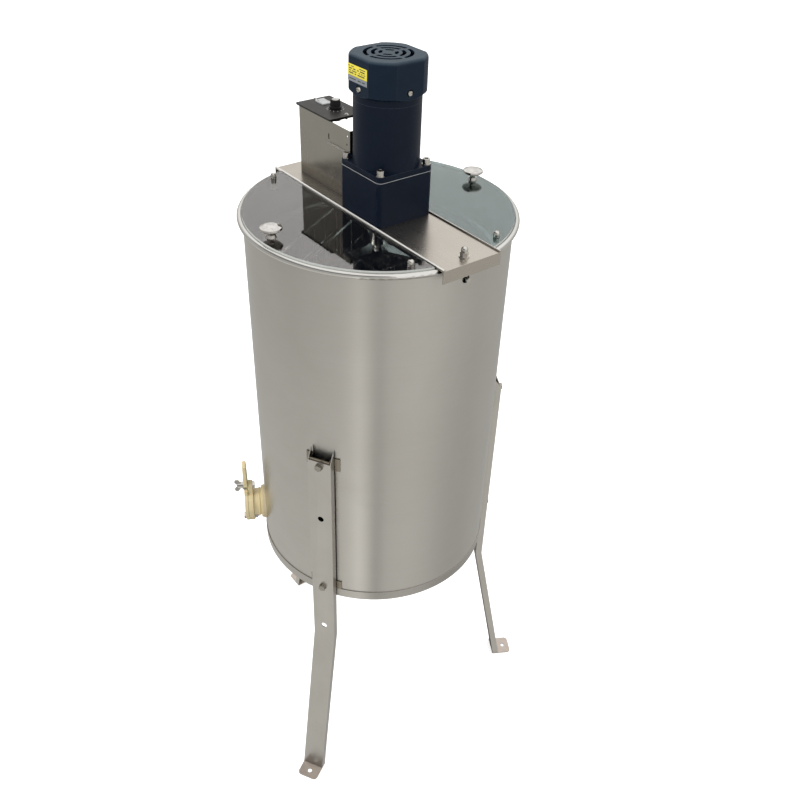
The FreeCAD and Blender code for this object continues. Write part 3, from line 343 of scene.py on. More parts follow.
def moulded(name, colour, roughness, grain_size=0.0007, edge_lift=1.25, subsurface=0.0, gloss=0.5):
    """Moulded plastic or rubber with a fine texture."""
    material, tree, shader = start(name, Subsurface_Weight=subsurface, Subsurface_Scale=0.004,
                                   Specular_IOR_Level=gloss)
    grain = use(tree, GRAIN, Grain_size=grain_size)["Grain"]
    marks = use(tree, HANDLED, Patch_size=0.02, Amount=0.5)["Mask"]
    edge_wear_highlight = use(tree, WORN_AND_HIGHLIT, Width=0.0005, Patchiness=0.5)["Mask"]
    base = blend_colour(tree, grain, scaled(colour, 0.93), scaled(colour, 1.07))
    base = blend_colour(tree, marks, base, scaled((colour[0], colour[1] * 0.97, colour[2] * 0.90), 0.86))
    # lighter edges: partly real wear, partly a painted edge highlight
    base = blend_colour(tree, math_node(tree, "MULTIPLY", edge_wear_highlight, 0.5), base, scaled(colour, edge_lift))
    rough = math_node(tree, "ADD", math_node(tree, "MULTIPLY", marks, 0.12), roughness)
    relief = add(tree, "Bump", {"Strength": 0.12, "Distance": 0.0003, "Height": grain})
    connect(tree, shader, base, rough, relief)
    return material


def clear_acrylic(name, colour, sheen):
    """Clear acrylic sheet with hairline wiping marks."""
    material, tree, shader = start(name, Metallic=0.0, Transmission_Weight=1.0, IOR=ACRYLIC_INDEX,
                                   Specular_Tint=sheen)
    marks = use(tree, HANDLED, Patch_size=0.09, Amount=0.5)["Mask"]
    wiping = use(tree, BRUSHED, Place=object_place(tree), Lines_per_metre=(90.0, 700.0, 700.0),
                 Contrast=0.6)
    base = blend_colour(tree, marks, scaled(colour, 1.0), scaled(colour, 0.94))
    rough = math_node(tree, "ADD", math_node(tree, "MULTIPLY", marks, 0.035),
                      span(tree, wiping["Lines"], 0.3, 0.9, 0.0, 0.02))
    relief = add(tree, "Bump", {"Strength": 0.006, "Distance": 0.0002, "Height": wiping["Height"]})
    connect(tree, shader, base, rough, relief)
    return material


def striped_copper(name):
    """Varnished copper turns."""
    material, tree, shader = start(name, Metallic=1.0, Roughness=0.35, Coat_Weight=0.6)
    place = use(tree, UNROLLED, Axis_X=GEARMOTOR_X)["Place"]
    turns = use(tree, BRUSHED, Place=place, Lines_per_metre=(1400.0, 200.0, 60.0), Contrast=1.4)
    base = blend_colour(tree, turns["Lines"], (0.30, 0.10, 0.04, 1.0), (0.72, 0.36, 0.16, 1.0))
    relief = add(tree, "Bump", {"Strength": 0.4, "Distance": 0.0006, "Height": turns["Height"]})
    tree.links.new(base, shader.inputs["Base Color"])
    tree.links.new(relief.outputs[0], shader.inputs["Normal"])
    return material


WALL_STEEL = sheet_steel("rolled_wall_steel", (0.61, 0.59, 0.555), 0.30, (2.5, 40.0, 2400.0), bump=0.03,
                         contrast=0.45, stretch=0.75, turn=0.25, around=0.0, edge=0.0, smudge=0.25,
                         smudge_size=0.12)
# the rolled rim: its smoother finish is real, its lighter tone is a painted highlight
HIGHLIT_RIM_STEEL = sheet_steel("rolled_rim_highlit_steel", (0.66, 0.65, 0.62), 0.20, (3.0, 600.0, 1800.0), bump=0.02,
                        around=0.0, edge=0.0)
FLOOR_STEEL = sheet_steel("floor_sheet_steel", (0.52, 0.50, 0.47), 0.28, (4.0, 500.0, 1800.0), around=0.0)
LEG_STEEL = sheet_steel("leg_strip_steel", (0.60, 0.58, 0.545), 0.30, ALONG_Z, bump=0.03, contrast=0.5)
FOOT_STEEL = sheet_steel("foot_plate_steel", (0.52, 0.455, 0.405), 0.34, ALONG_X, bump=0.05, contrast=0.9,
                         smudge=0.6, smudge_size=0.012)
# painted shade: the inside of the drum and its wet floor are darkened to half the wall's colour
SHADED_INSIDE_STEEL = sheet_steel("drum_inside_painted_shade_steel", (0.30, 0.30, 0.29), 0.30, (3.0, 40.0, 1800.0), around=0.0,
                           edge=0.0)
BRIDGE_STEEL = sheet_steel("bridge_sheet_steel", (0.53, 0.49, 0.435), 0.27, ALONG_X, bump=0.02,
                           contrast=0.45)
BOX_STEEL = sheet_steel("box_sheet_steel", (0.43, 0.41, 0.365), 0.24, ALONG_Z, bump=0.04, contrast=0.6)
# painted highlight: the bridge's folded hems are near white
HIGHLIT_LIP_STEEL = sheet_steel("folded_lip_painted_highlight_steel", (0.90, 0.88, 0.84), 0.24, ALONG_X, bump=0.01, contrast=0.3,
                        metal=0.5)
# painted highlight: the top of the box's ledge is near white
HIGHLIT_LEDGE_STEEL = sheet_steel("ledge_painted_highlight_steel", (0.96, 0.95, 0.92), 0.55, ALONG_X, bump=0.01, contrast=0.3)
# painted shade: near-black steel for the legs' inner faces beside the drum
PAINTED_SHADE_STEEL = sheet_steel("channel_painted_shade_steel", (0.050, 0.043, 0.036), 0.40, ALONG_Z, bump=0.05,
                           contrast=0.8)
BRACKET_STEEL = sheet_steel("bracket_strip_steel", (0.30, 0.265, 0.215), 0.20, ALONG_Z, bump=0.04,
                            contrast=0.9)
BOLT_STEEL = turned_steel("leg_bolt_steel", (0.40, 0.375, 0.335), 0.16)
BASKET_STEEL = sheet_steel("basket_wire_steel", (0.84, 0.83, 0.80), 0.16, ALONG_Z, bump=0.02)
BRIGHT_STEEL = turned_steel("bright_fastener_steel", (0.64, 0.62, 0.58), 0.13)
POLISHED_STEEL = turned_steel("polished_knob_steel", (0.66, 0.64, 0.61), 0.06)
GEAR_STEEL = turned_steel("ground_gear_steel", (0.46, 0.46, 0.46), 0.26)
BEARING_STEEL = turned_steel("bearing_ring_steel", (0.58, 0.58, 0.58), 0.18)
CORE_STEEL = sheet_steel("stacked_core_steel", (0.26, 0.26, 0.27), 0.42, (40.0, 40.0, 2400.0), bump=0.3,
                         contrast=1.4)
POT_METAL = turned_steel("plated_can_metal", (0.52, 0.52, 0.51), 0.28)
NAVY_ENAMEL = enamel("navy_enamel", (0.0034, 0.0072, 0.0165), 0.40, 0.15)
# its tops get painted light from above: a lighter colour on faces that look up
COVER_ENAMEL = enamel("cover_enamel", (0.0034, 0.0112, 0.0240), 0.44, 0.17,
                      lit_top=(0.031, 0.050, 0.067, 1.0))
GATE_PLASTIC = moulded("cream_gate_plastic", (0.72, 0.61, 0.36), 0.42, subsurface=0.15, edge_lift=1.12)
PALE_RUBBER = moulded("pale_gasket_rubber", (0.62, 0.53, 0.34), 0.62)
JOINT_GREY = moulded("grey_joint_gasket", (0.40, 0.41, 0.41), 0.60)
BLACK_PLASTIC = moulded("black_moulded_plastic", (0.017, 0.017, 0.018), 0.45, edge_lift=2.6)
PANEL_BLACK = moulded("charcoal_panel_plastic", (0.018, 0.017, 0.016), 0.42, grain_size=0.0005,
                      edge_lift=2.2, gloss=0.30)
SWITCH_GREY = moulded("light_grey_plastic", (0.44, 0.45, 0.45), 0.36, edge_lift=1.25)
KNOB_BLACK = moulded("black_knob_plastic", (0.009, 0.009, 0.010), 0.34, edge_lift=2.2, gloss=0.25)
MARK_WHITE = moulded("printed_white_marks", (0.80, 0.80, 0.78), 0.50, edge_lift=1.0)
PEG_NYLON = moulded("white_peg_nylon", (0.82, 0.81, 0.77), 0.38, subsurface=0.25, edge_lift=1.05)
BOARD_GREEN = moulded("circuit_board_green", (0.03, 0.17, 0.07), 0.30, grain_size=0.004, edge_lift=1.6)
LABEL_YELLOW = moulded("label_film_yellow", (0.80, 0.68, 0.06), 0.38, edge_lift=1.05)
LABEL_DARK = moulded("label_print_dark", (0.035, 0.045, 0.035), 0.40, edge_lift=1.1)
LABEL_GREY = moulded("label_film_grey", (0.22, 0.24, 0.27), 0.38, edge_lift=1.1)
LEFT_ACRYLIC = clear_acrylic("left_lid_acrylic", (0.62, 0.61, 0.60), (1.0, 0.95, 0.92, 1.0))
RIGHT_ACRYLIC = clear_acrylic("right_lid_acrylic", (0.58, 0.72, 0.72), (0.86, 1.0, 0.96, 1.0))
CUT_EDGE = moulded("frosted_acrylic_edge", (0.60, 0.62, 0.60), 0.50)
COPPER = striped_copper("varnished_copper")

FINISHES = {
    "drum_steel": WALL_STEEL, "leg_steel": LEG_STEEL, "bolt_steel": BRIGHT_STEEL,
    "bridge_steel": BRIDGE_STEEL, "gate_plastic": GATE_PLASTIC, "gasket_rubber": PALE_RUBBER,
    "motor_paint": NAVY_ENAMEL, "cover_paint": COVER_ENAMEL, "gear_steel": GEAR_STEEL,
    "bearing_steel": BEARING_STEEL, "core_steel": CORE_STEEL, "winding_copper": COPPER,
    "black_plastic": BLACK_PLASTIC, "switch_grey": SWITCH_GREY, "knob_plastic": KNOB_BLACK,
    "board_green": BOARD_GREEN, "pot_metal": POT_METAL, "lid_acrylic": LEFT_ACRYLIC,
    "lid_acrylic_cool": RIGHT_ACRYLIC, "peg_nylon": PEG_NYLON, "basket_steel": BASKET_STEEL,
}
# nodes that look different from the rest of their material slot
SPECIAL = {"drum_floor": FLOOR_STEEL, "foot_plates": FOOT_STEEL, "control_box": BOX_STEEL,
           "leg_brackets": BRACKET_STEEL, "leg_bolts": BOLT_STEEL,
           "control_panel": PANEL_BLACK, "lid_knob_left": POLISHED_STEEL, "lid_knob_right": POLISHED_STEEL}
SLOT_OF = {row["node"]: row["material_slot"] for row in frame["record"]["subparts"]}
CRISP_ANGLE = math.radians(32.0)


def smooth(mesh):
    """Round faces shade smoothly; edges sharper than the crisp angle stay crisp."""
    mesh.shade_smooth()
    mesh.set_sharp_from_angle(angle=CRISP_ANGLE)


for name, node in NODES.items():
    finish = SPECIAL.get(name, FINISHES[SLOT_OF[name]])
    if not node.material_slots:
        node.data.materials.append(finish)
    for slot in node.material_slots:
        slot.material = finish
    smooth(node.data)


def second_finish(node_name, finish, wanted):
    """Give the faces whose centre and normal pass the test another finish."""
    mesh = NODES[node_name].data
    mesh.materials.append(finish)
    for face in mesh.polygons:
        if wanted(face.center, face.normal):
            face.material_index = len(mesh.materials) - 1


WALL_MIDDLE_R = 0.1894        # middle of the drum's sheet
WALL_INSIDE_R = 0.1888        # inner face of the drum's sheet
DRUM_FLOOR_Z = 0.4008         # the wet side of the floor is above it
RIM_Z = 0.9894                # the rolled rim is above it
LID_TOP = 1.0003
LID_EDGE_R = 0.1895           # the round edge of a lid is beyond it
PEG_FOOT_Z = 0.9824           # the pegs' screw ends are below it
HEM_Z, HEM_Y = 0.9993, 0.0466     # the bridge's hems are above and beyond them
LEDGE_Y = -0.0243             # the box's ledge is in front of it
LEG_SHADE_Z = 0.42            # above it the legs stand against the drum
LEG_SIDE_Y = 0.0178           # middle of the sheet of a leg's sides


def inside_channel(azimuth):
    """A test for the inner faces of a U-channel leg, where they stand in the drum's shade."""
    out = Vector((math.cos(math.radians(azimuth)), math.sin(math.radians(azimuth)), 0.0))
    side = Vector((-out.y, out.x, 0.0))

    def is_inside(centre, normal):
        faces_drum = normal.dot(out) < -0.5
        faces_across = abs(normal.dot(side)) > 0.9 and abs(centre.dot(side)) < LEG_SIDE_Y
        return centre.z > LEG_SHADE_Z and (faces_drum or faces_across)

    return is_inside


def from_axis(point):
    """Distance from the drum's axis."""
    return math.hypot(point.x, point.y)


# painted shade on the legs' inner faces where they stand against the drum
for leg, azimuth in (("leg_left", 180.0), ("leg_front", 300.0), ("leg_rear", 60.0)):
    second_finish(leg, PAINTED_SHADE_STEEL, inside_channel(azimuth))
# painted highlight along the bridge plate's hems
second_finish("bridge_plate", HIGHLIT_LIP_STEEL,
              lambda c, n: c.z > HEM_Z and abs(c.y) > HEM_Y and abs(n.x) < 0.5)
# painted highlight on the top of the box's ledge
second_finish("control_box", HIGHLIT_LEDGE_STEEL, lambda c, n: c.y < LEDGE_Y and n.z > 0.5)
# painted shade on the inner face of the drum wall
second_finish("drum_wall", SHADED_INSIDE_STEEL, lambda c, n: from_axis(c) < WALL_MIDDLE_R)
# painted highlight: the rolled rim gets the lighter, smoother steel
second_finish("drum_wall", HIGHLIT_RIM_STEEL, lambda c, n: c.z > RIM_Z)
# painted shade on the wet side of the drum floor
second_finish("drum_floor", SHADED_INSIDE_STEEL,
              lambda c, n: c.z > DRUM_FLOOR_Z and from_axis(c) < WALL_INSIDE_R)
for side in ("left", "right"):
    second_finish("lid_" + side, CUT_EDGE, lambda c, n: abs(n.z) < 0.5 and from_axis(c) > LID_EDGE_R)
    second_finish("lid_pegs_" + side, BRIGHT_STEEL, lambda c, n: c.z > LID_TOP or c.z < PEG_FOOT_Z)


# --- mesh building -----------------------------------------------------------------
WIRE_SIDES = 8
WELD = 1e-6                   # points closer than this are one point
FLAT_WITHIN = math.radians(0.6)   # faces that differ by less become one face
EASED_FROM = math.radians(38.0)   # edges sharper than this get eased


def piece(name, bm, materials, body, replaced=()):
    """Put a built mesh in the scene as one piece of the object."""
    mesh = bpy.data.meshes.new(name)
    bmesh.ops.recalc_face_normals(bm, faces=bm.faces)
    bm.to_mesh(mesh)
    bm.free()
    smooth(mesh)
    thing = bpy.data.objects.new(name, mesh)
    for material in materials:
        mesh.materials.append(material)
    scene.collection.objects.link(thing)
    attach(thing, body)
    if replaced:
        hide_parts(*replaced)
    return thing


def lathe(bm, profile, steps, centre, shape=None):
    """Turn a closed outline of (radius, height) points round an upright axis; shape ripples the radius."""
    rings = []
    for step in range(steps):
        angle = 2 * math.pi * step / steps
        ring = []
        for radius, height in profile:
            r = radius if shape is None else shape(radius, height, angle)
            ring.append(bm.verts.new((centre[0] + r * math.cos(angle), centre[1] + r * math.sin(angle),
                                      height)))
        rings.append(ring)
    count = len(profile)
    for step in range(steps):
        a, b = rings[step], rings[(step + 1) % steps]
        for k in range(count):
            bm.faces.new((a[k], b[k], b[(k + 1) % count], a[(k + 1) % count]))


def wire(bm, points, radius, closed=False):
    """A round wire through the points, closed into a loop or with flat ends."""
    points = [Vector(p) for p in points]
    rings = []
    count = len(points)
    for k, point in enumerate(points):
        before = points[k - 1] if closed or k > 0 else point
        after = points[(k + 1) % count] if closed or k < count - 1 else point
        along = (after - before).normalized()
        side = along.cross(Vector((0, 0, 1)))
        if side.length < 1e-4:
            side = along.cross(Vector((1, 0, 0)))
        side.normalize()
        other = along.cross(side)
        rings.append([bm.verts.new(point + radius * (math.cos(a) * side + math.sin(a) * other))
                      for a in (2 * math.pi * s / WIRE_SIDES for s in range(WIRE_SIDES))])
    pairs = list(zip(rings, rings[1:])) + ([(rings[-1], rings[0])] if closed else [])
    for a, b in pairs:
        for s in range(WIRE_SIDES):
            bm.faces.new((a[s], b[s], b[(s + 1) % WIRE_SIDES], a[(s + 1) % WIRE_SIDES]))
    if not closed:
        for ring in (rings[0], rings[-1]):
            bm.faces.new(ring)


def slab(bm, low, high, ease=0.0, material=0):
    """A block between two corners; ease rounds its edges by that much."""
    made = bmesh.ops.create_cube(bm, size=1.0)["verts"]
    for vert in made:
        vert.co = Vector([low[k] + (vert.co[k] + 0.5) * (high[k] - low[k]) for k in range(3)])
    faces = {face for vert in made for face in vert.link_faces}
    if ease:
        edges = {edge for vert in made for edge in vert.link_edges}
        eased = bmesh.ops.bevel(bm, geom=list(edges), offset=ease, segments=2, affect="EDGES", profile=0.6)
        faces = {face for vert in eased["verts"] for face in vert.link_faces}
    for face in faces:
        face.material_index = material


def eased_copy(node_name, width):
    """Stands for a CAD node with the same shape and eased edges, so that they catch the light."""
    node = NODES[node_name]
    bm = bmesh.new()
    bm.from_mesh(node.data)
    bmesh.ops.remove_doubles(bm, verts=bm.verts, dist=WELD)
    bmesh.ops.dissolve_limit(bm, angle_limit=FLAT_WITHIN, verts=bm.verts, edges=bm.edges,
                             delimit={"MATERIAL"})
    sharp = [edge for edge in bm.edges if len(edge.link_faces) == 2
             and edge.calc_face_angle(0.0) > EASED_FROM]
    bmesh.ops.bevel(bm, geom=sharp, offset=width, segments=2, profile=0.6, affect="EDGES",
                    clamp_overlap=True, harden_normals=False)
    finishes = [slot.material for slot in node.material_slots]
    body = node.get("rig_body")
    thing = piece(node_name + "_eased", bm, finishes, body, (node_name,))
    flat = thing.modifiers.new("flat_faces", "WEIGHTED_NORMAL")
    flat.keep_sharp = True
    flat.weight = 90


# --- basket: welded wire screens -----------------------------------------------------
CAGE_LOW, CAGE_HIGH = 0.455, 0.930
CAGE_HALF = 0.117             # half the width of a cage
SCREEN_CENTRES = (0.12275, 0.07725)
FRAME_WIRE_R, CROSS_WIRE_R = 0.0024, 0.0014
FRAME_CORNER_R = 0.006
UPRIGHT_GAPS, LEVEL_GAPS = 6, 12
STRAP_T, STRAP_TALL = 0.0025, 0.020
STRAP_INNER, STRAP_OUTER = 0.0785, 0.1215
STRAP_ZS = (CAGE_LOW, 0.6825, CAGE_HIGH - STRAP_TALL)
TRAY_HALF, TRAY_T = 0.1145, 0.002
SLATS, SLAT_START, SLAT_PITCH, SLAT_WIDE = 6, -0.1125, 0.0430, 0.010
TRAY_RAIL_WIDE = 0.008


def build_cage(number, azimuth):
    """Frame rods, welded cross wires, side straps and a drained tray."""
    bm = bmesh.new()
    edge = CAGE_HALF - FRAME_WIRE_R
    low, high = CAGE_LOW + FRAME_WIRE_R, CAGE_HIGH - FRAME_WIRE_R
    corner = FRAME_CORNER_R
    for x in SCREEN_CENTRES:
        loop = []
        for cy, cz, first in ((edge - corner, high - corner, 0), (-edge + corner, high - corner, 90),
                              (-edge + corner, low + corner, 180), (edge - corner, low + corner, 270)):
            for step in range(5):
                a = math.radians(first + 22.5 * step)
                loop.append((x, cy + corner * math.cos(a), cz + corner * math.sin(a)))
        wire(bm, loop, FRAME_WIRE_R, closed=True)
        for k in range(1, UPRIGHT_GAPS):
            y = -edge + 2 * edge * k / UPRIGHT_GAPS
            wire(bm, [(x + CROSS_WIRE_R, y, low), (x + CROSS_WIRE_R, y, high)], CROSS_WIRE_R)
        for k in range(1, LEVEL_GAPS):
            z = low + (high - low) * k / LEVEL_GAPS
            wire(bm, [(x - CROSS_WIRE_R, -edge, z), (x - CROSS_WIRE_R, edge, z)], CROSS_WIRE_R)
    inner, outer = STRAP_INNER, STRAP_OUTER
    for z in STRAP_ZS:
        for y in (-CAGE_HALF, CAGE_HALF - STRAP_T):
            slab(bm, (inner, y, z), (outer, y + STRAP_T, z + STRAP_TALL), ease=0.0006)
    tray_top = CAGE_LOW + TRAY_T
    for k in range(SLATS):
        y = SLAT_START + SLAT_PITCH * k
        slab(bm, (inner, y, CAGE_LOW), (outer, y + SLAT_WIDE, tray_top), ease=0.0004)
    for x0, x1 in ((inner, inner + TRAY_RAIL_WIDE), (outer - TRAY_RAIL_WIDE, outer)):
        slab(bm, (x0, -TRAY_HALF, CAGE_LOW), (x1, TRAY_HALF, tray_top), ease=0.0004)
    turned = Matrix.Rotation(math.radians(azimuth), 3, "Z")
    bmesh.ops.rotate(bm, verts=bm.verts, cent=(0, 0, 0), matrix=turned)
    node = "frame_cage_%d" % number
    piece("wire_cage_%d" % number, bm, [BASKET_STEEL], "basket", (node,))


for number, azimuth in enumerate((90.0, 210.0, 330.0), start=1):
    build_cage(number, azimuth)


# --- eased castings, sheet and mouldings -----------------------------------------------
for node_name, width in (("gearbox_case", 0.0006), ("gearbox_flange", 0.0006), ("bridge_plate", 0.0004),
                         ("control_box", 0.00025), ("control_panel", 0.0004), ("gate_body", 0.0008),
                         ("gate_flap", 0.0008), ("leg_left", 0.0003), ("leg_front", 0.0003),
                         ("leg_rear", 0.0003), ("foot_plates", 0.0004), ("leg_bolts", 0.0003),
                         ("gearbox_bolts", 0.0004)):
    eased_copy(node_name, width)


# --- gearbox joint ---------------------------------------------------------------------
GEARBOX_HALF, GEARBOX_CORNER_R = 0.0450, 0.0070
GEARBOX_TOP_Z = 1.0630
GASKET_LINE_R = 0.00030


def build_joint_line():
    """The grey gasket that shows as a thin line between the gearbox and its flange."""
    bm = bmesh.new()
    straight = GEARBOX_HALF - GEARBOX_CORNER_R
    loop = []
    for first, sx, sy in ((0, 1, 1), (90, -1, 1), (180, -1, -1), (270, 1, -1)):
        for step in range(7):
            a = math.radians(first + 15 * step)
            loop.append((GEARMOTOR_X + sx * straight + GEARBOX_CORNER_R * math.cos(a),
                         sy * straight + GEARBOX_CORNER_R * math.sin(a), GEARBOX_TOP_Z))
    wire(bm, loop, GASKET_LINE_R, closed=True)
    piece("gearbox_joint_gasket", bm, [JOINT_GREY], "root")


build_joint_line()


# --- speed knob and dial ----------------------------------------------------------------
KNOB_AT = (-0.118, 0.008)
PANEL_TOP = 1.1025
RIBS, RIB_PROUD = 24, 0.00028
POINTER_HALF = 0.0005
DIAL_MARKS, MARK_STEP = 11, 27.0
MARK_START_R, MARK_END_R, LONG_MARK_END_R = 0.0112, 0.0130, 0.0140
MARK_WIDE, MARK_T, MARK_SUNK = 0.0006, 0.00013, 0.00005


def build_knob():
    """A ribbed grip on a plain skirt, with a bright cap and a white pointer line."""
    base = PANEL_TOP + 0.0008
    bm = bmesh.new()
    skirt = [(0.0072, base), (0.0086, base), (0.0088, base + 0.0003), (0.0088, base + 0.0026),
             (0.0084, base + 0.0032), (0.0074, base + 0.0034)]
    grip = [(0.0073, base + 0.0042), (0.0067, base + 0.0121), (0.0063, base + 0.0125),
            (0.0052, base + 0.0125)]
    inside = [(0.0052, base + 0.0110), (0.0030, base + 0.0105), (0.0030, base + 0.0020),
              (0.0072, base + 0.0020)]

    def ribs(radius, height, angle):
        on_grip = base + 0.0038 < height < base + 0.0123 and radius > 0.006
        return radius + (RIB_PROUD * math.cos(RIBS * angle) if on_grip else 0.0)

    lathe(bm, skirt + grip + inside, 144, KNOB_AT, ribs)
    piece("speed_knob_grip", bm, [KNOB_BLACK], "speed_knob", ("speed_knob",))

    bm = bmesh.new()
    cap = [(0.0, base + 0.0108), (0.0051, base + 0.0110), (0.0051, base + 0.0126), (0.0048, base + 0.0129),
           (0.0030, base + 0.01275), (0.0, base + 0.0127)]
    lathe(bm, cap, 64, KNOB_AT)
    bmesh.ops.remove_doubles(bm, verts=bm.verts, dist=WELD)
    piece("speed_knob_cap", bm, [POLISHED_STEEL], "speed_knob")

    bm = bmesh.new()
    x0, x1, y = KNOB_AT[0] - POINTER_HALF, KNOB_AT[0] + POINTER_HALF, KNOB_AT[1]
    slab(bm, (x0, y + 0.0058, base + 0.0035), (x1, y + 0.0078, base + 0.0126), ease=0.0002)
    slab(bm, (x0, y + 0.0072, base + 0.0028), (x1, y + 0.0086, base + 0.0035), ease=0.0002)
    piece("speed_knob_pointer", bm, [MARK_WHITE], "speed_knob")


def build_dial():
    """A ring of printed marks round the knob, longer at the ends and the middle."""
    bm = bmesh.new()
    for k in range(DIAL_MARKS):
        angle = math.radians(90 - MARK_STEP * k)
        end_r = LONG_MARK_END_R if k % 5 == 0 else MARK_END_R
        for vert in bmesh.ops.create_cube(bm, size=1.0)["verts"]:
            along = MARK_START_R + (vert.co.x + 0.5) * (end_r - MARK_START_R)
            across = vert.co.y * MARK_WIDE
            height = PANEL_TOP - MARK_SUNK + (vert.co.z + 0.5) * MARK_T
            vert.co = (KNOB_AT[0] + along * math.cos(angle) - across * math.sin(angle),
                       KNOB_AT[1] + along * math.sin(angle) + across * math.cos(angle), height)
    piece("dial_marks", bm, [MARK_WHITE], "root")


build_knob()
build_dial()


# --- rating label -------------------------------------------------------------------------
LABEL_FACE_Y = -0.0460        # the flat of the fan cover
LABEL_X = (-0.0080, 0.0330)
FILM_Z, FILM_PROUD = (1.1872, 1.2010), 0.00025
STRIP_Z, STRIP_PROUD = (1.1800, 1.1868), 0.00022
DASH_START_X, DASH_ROW = -0.0065, 0.038
DASH_PROUD = 0.00034
STRIP_DASH_Z, STRIP_DASH_PROUD = (1.1829, 1.1842), 0.00030
SUNK = 0.0001                 # the film goes this deep into the cover; the dashes start as far in front
# rows of dashes: middle height, how tall, then each dash as its first and last share of the row
DASH_ROWS = ((1.1985, 0.0011, ((0.0, 0.10), (0.16, 0.30), (0.62, 0.95))),
             (1.1957, 0.0014, ((0.04, 0.20), (0.26, 0.40), (0.50, 0.58), (0.66, 0.92))),
             (1.1930, 0.0011, ((0.04, 0.14), (0.20, 0.46), (0.58, 0.66), (0.72, 0.80), (0.86, 0.95))),
             (1.1903, 0.0014, ((0.04, 0.28), (0.36, 0.44), (0.52, 0.90))))
STRIP_DASHES = ((0.05, 0.42), (0.52, 0.70), (0.76, 0.93))


def label_dashes(bm, dashes, low, high, proud):
    """One row of raised dashes from the height low to the height high."""
    for first, last in dashes:
        slab(bm, (DASH_START_X + DASH_ROW * first, LABEL_FACE_Y - proud, low),
             (DASH_START_X + DASH_ROW * last, LABEL_FACE_Y - SUNK, high), material=2)


def build_label():
    """A yellow film with rows of dark dashes that say nothing, and a grey strip below it."""
    bm = bmesh.new()
    back = LABEL_FACE_Y + SUNK
    for k, (proud, heights) in enumerate(((FILM_PROUD, FILM_Z), (STRIP_PROUD, STRIP_Z))):
        slab(bm, (LABEL_X[0], LABEL_FACE_Y - proud, heights[0]), (LABEL_X[1], back, heights[1]),
             ease=0.0001, material=k)
    for z, tall, dashes in DASH_ROWS:
        label_dashes(bm, dashes, z - tall / 2, z + tall / 2, DASH_PROUD)
    label_dashes(bm, STRIP_DASHES, *STRIP_DASH_Z, STRIP_DASH_PROUD)
    piece("rating_label", bm, [LABEL_YELLOW, LABEL_GREY, LABEL_DARK], "root")


build_label()


# --- floor, world and lights -----------------------------------------------------------------
def build_floor():
    """White paper; mirrored surfaces look through it to the studio walls."""
    bm = bmesh.new()
    bmesh.ops.create_grid(bm, x_segments=2, y_segments=2, size=9.0)
    mesh = bpy.data.meshes.new("studio_floor")
    bm.to_mesh(mesh)
    bm.free()
    floor = bpy.data.objects.new("studio_floor", mesh)
    floor.location = (0, 0, -0.0003)
    material = bpy.data.materials.new("studio_floor_paper")
    material.use_nodes = True
    tree = material.node_tree
    tree.nodes.clear()
    rays = add(tree, "LightPath")
    paper = add(tree, "BsdfDiffuse", {"Color": (0.93, 0.93, 0.93, 1.0)})
    glow = add(tree, "Emission", {"Color": (1, 1, 1, 1), "Strength": 0.45})
    bright = add(tree, "AddShader", {0: paper.outputs[0], 1: glow.outputs[0]})
    dim = add(tree, "BsdfDiffuse", {"Color": (0.55, 0.55, 0.55, 1.0)})
    in_view = rays.outputs["Is Camera Ray"]
    seen = add(tree, "MixShader", {0: in_view, 1: dim.outputs[0], 2: bright.outputs[0]})
    clear = add(tree, "BsdfTransparent")
    mirrored = rays.outputs["Is Glossy Ray"]
    mixed = add(tree, "MixShader", {0: mirrored, 1: seen.outputs[0], 2: clear.outputs[0]})
    out = tree.nodes.new("ShaderNodeOutputMaterial")
    tree.links.new(mixed.outputs[0], out.inputs[0])
    mesh.materials.append(material)
    scene.collection.objects.link(floor)


# light of the studio walls as (degrees round from +X, level), as mirrored low down and further up
LOW_WALLS = ((-180, 0.62), (-156, 0.68), (-128, 0.70), (-100, 0.69), (-72, 0.74), (-60, 0.88),
             (-52, 1.14), (-44, 0.84), (-35, 0.40), (-22, 0.64), (0, 0.66), (16, 0.60), (38, 0.46),
             (60, 0.43), (85, 0.50), (110, 0.46), (150, 0.50), (180, 0.66))
MID_WALLS = ((-180, 0.50), (-150, 0.50), (-110, 0.46), (-85, 0.50), (-66, 0.52), (-52, 0.60),
             (-40, 0.52), (-19, 0.64), (0, 0.68), (20, 0.68), (38, 0.60), (60, 0.52), (85, 0.52),
             (110, 0.48), (150, 0.50), (180, 0.54))
# directions are unit vectors: each pair gives the Z or Y between which one part of the studio gives way
STEEP_Z = (-0.48, -0.66)      # from the mid walls down to the low walls
CEILING_Z = (0.05, 0.45)      # from the walls up to the white ceiling
SCREEN_Y = (-0.12, -0.45)     # the dark screen stands on the -Y side
SCREEN_TOP_Z = (0.86, 0.66)   # and ends here
SKY_Z = (-0.1, 0.8)           # the soft light grows from the floor up
CEILING_LIGHT = (1.16, 1.15, 1.14, 1.0)
SCREEN_GREY = (0.15, 0.15, 0.155, 1.0)
SKY_LOW, SKY_HIGH = (0.42, 0.42, 0.42, 1.0), (1.30, 1.30, 1.30, 1.0)


def wall_ramp(tree, turn, stops):
    """The light of the walls all the way round, from its (degrees, level) stops."""
    ramp = add(tree, "ValToRGB", {0: turn})
    ramp.color_ramp.interpolation = "EASE"
    elements = ramp.color_ramp.elements
    elements.remove(elements[-1])
    for k, (degrees, level) in enumerate(stops):
        place = (degrees + 180.0) / 360.0
        element = elements[0] if k == 0 else elements.new(place)
        element.position = place
        element.color = (level * 1.01, level, level * 0.955, 1.0)
    return ramp.outputs[0]


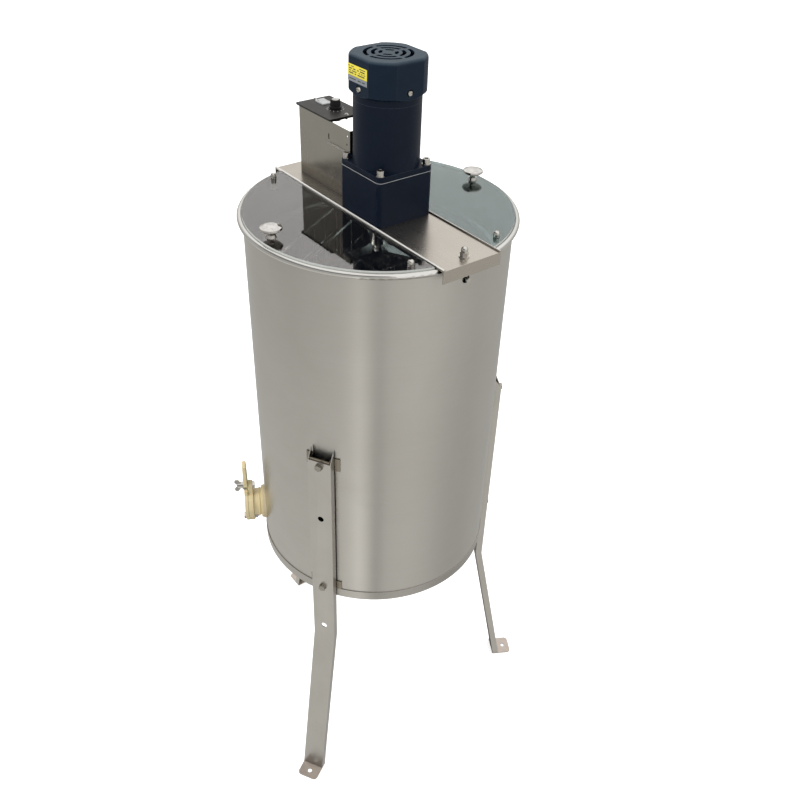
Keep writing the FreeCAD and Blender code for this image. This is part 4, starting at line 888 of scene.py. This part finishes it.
def build_world():
    """Soft light from above; mirrored surfaces see lighter and darker walls and a dark screen in front."""
    world = bpy.data.worlds.new("studio_walls")
    world.use_nodes = True
    scene.world = world
    tree = world.node_tree
    tree.nodes.clear()
    way = add(tree, "SeparateXYZ", {0: add(tree, "TexCoord").outputs["Generated"]})
    azimuth = math_node(tree, "ARCTAN2", way.outputs[1], way.outputs[0])
    turn = span(tree, azimuth, -math.pi, math.pi)
    steep = span(tree, way.outputs[2], *STEEP_Z)
    walls = blend_colour(tree, steep, wall_ramp(tree, turn, MID_WALLS), wall_ramp(tree, turn, LOW_WALLS))
    high = span(tree, way.outputs[2], *CEILING_Z)
    mirrored = blend_colour(tree, high, walls, CEILING_LIGHT)
    screen = math_node(tree, "MULTIPLY", span(tree, way.outputs[1], *SCREEN_Y),
                       math_node(tree, "MULTIPLY", high, span(tree, way.outputs[2], *SCREEN_TOP_Z)))
    mirrored = blend_colour(tree, screen, mirrored, SCREEN_GREY)
    soft = blend_colour(tree, span(tree, way.outputs[2], *SKY_Z), SKY_LOW, SKY_HIGH)
    rays = add(tree, "LightPath")
    white = add(tree, "Background", {"Color": (1, 1, 1, 1), "Strength": 1.0})
    diffuse = add(tree, "Background", {"Color": soft, "Strength": 1.0})
    glossy = add(tree, "Background", {"Color": mirrored, "Strength": 1.0})
    in_mirrors = rays.outputs["Is Glossy Ray"]
    lit = add(tree, "MixShader", {0: in_mirrors, 1: diffuse.outputs[0], 2: glossy.outputs[0]})
    seen = math_node(tree, "MAXIMUM", rays.outputs["Is Camera Ray"], rays.outputs["Is Transmission Ray"])
    mixed = add(tree, "MixShader", {0: seen, 1: lit.outputs[0], 2: white.outputs[0]})
    out = tree.nodes.new("ShaderNodeOutputWorld")
    tree.links.new(mixed.outputs[0], out.inputs[0])


DRUM_MIDDLE = Vector((0, 0, 0.7))


def soft_light(name, place, side, power):
    """A square softbox that looks at the middle of the drum and isn't mirrored."""
    data = bpy.data.lights.new(name, "AREA")
    data.size = side
    data.energy = power
    light = bpy.data.objects.new(name, data)
    aim = DRUM_MIDDLE - Vector(place)
    light.matrix_world = Matrix.Translation(place) @ aim.to_track_quat("-Z", "Y").to_matrix().to_4x4()
    scene.collection.objects.link(light)
    light.visible_glossy = False


build_floor()
build_world()
soft_light("key_softbox", (-0.6, -2.4, 2.6), 1.6, 38.0)
soft_light("fill_softbox", (2.4, 0.8, 2.2), 1.8, 16.0)
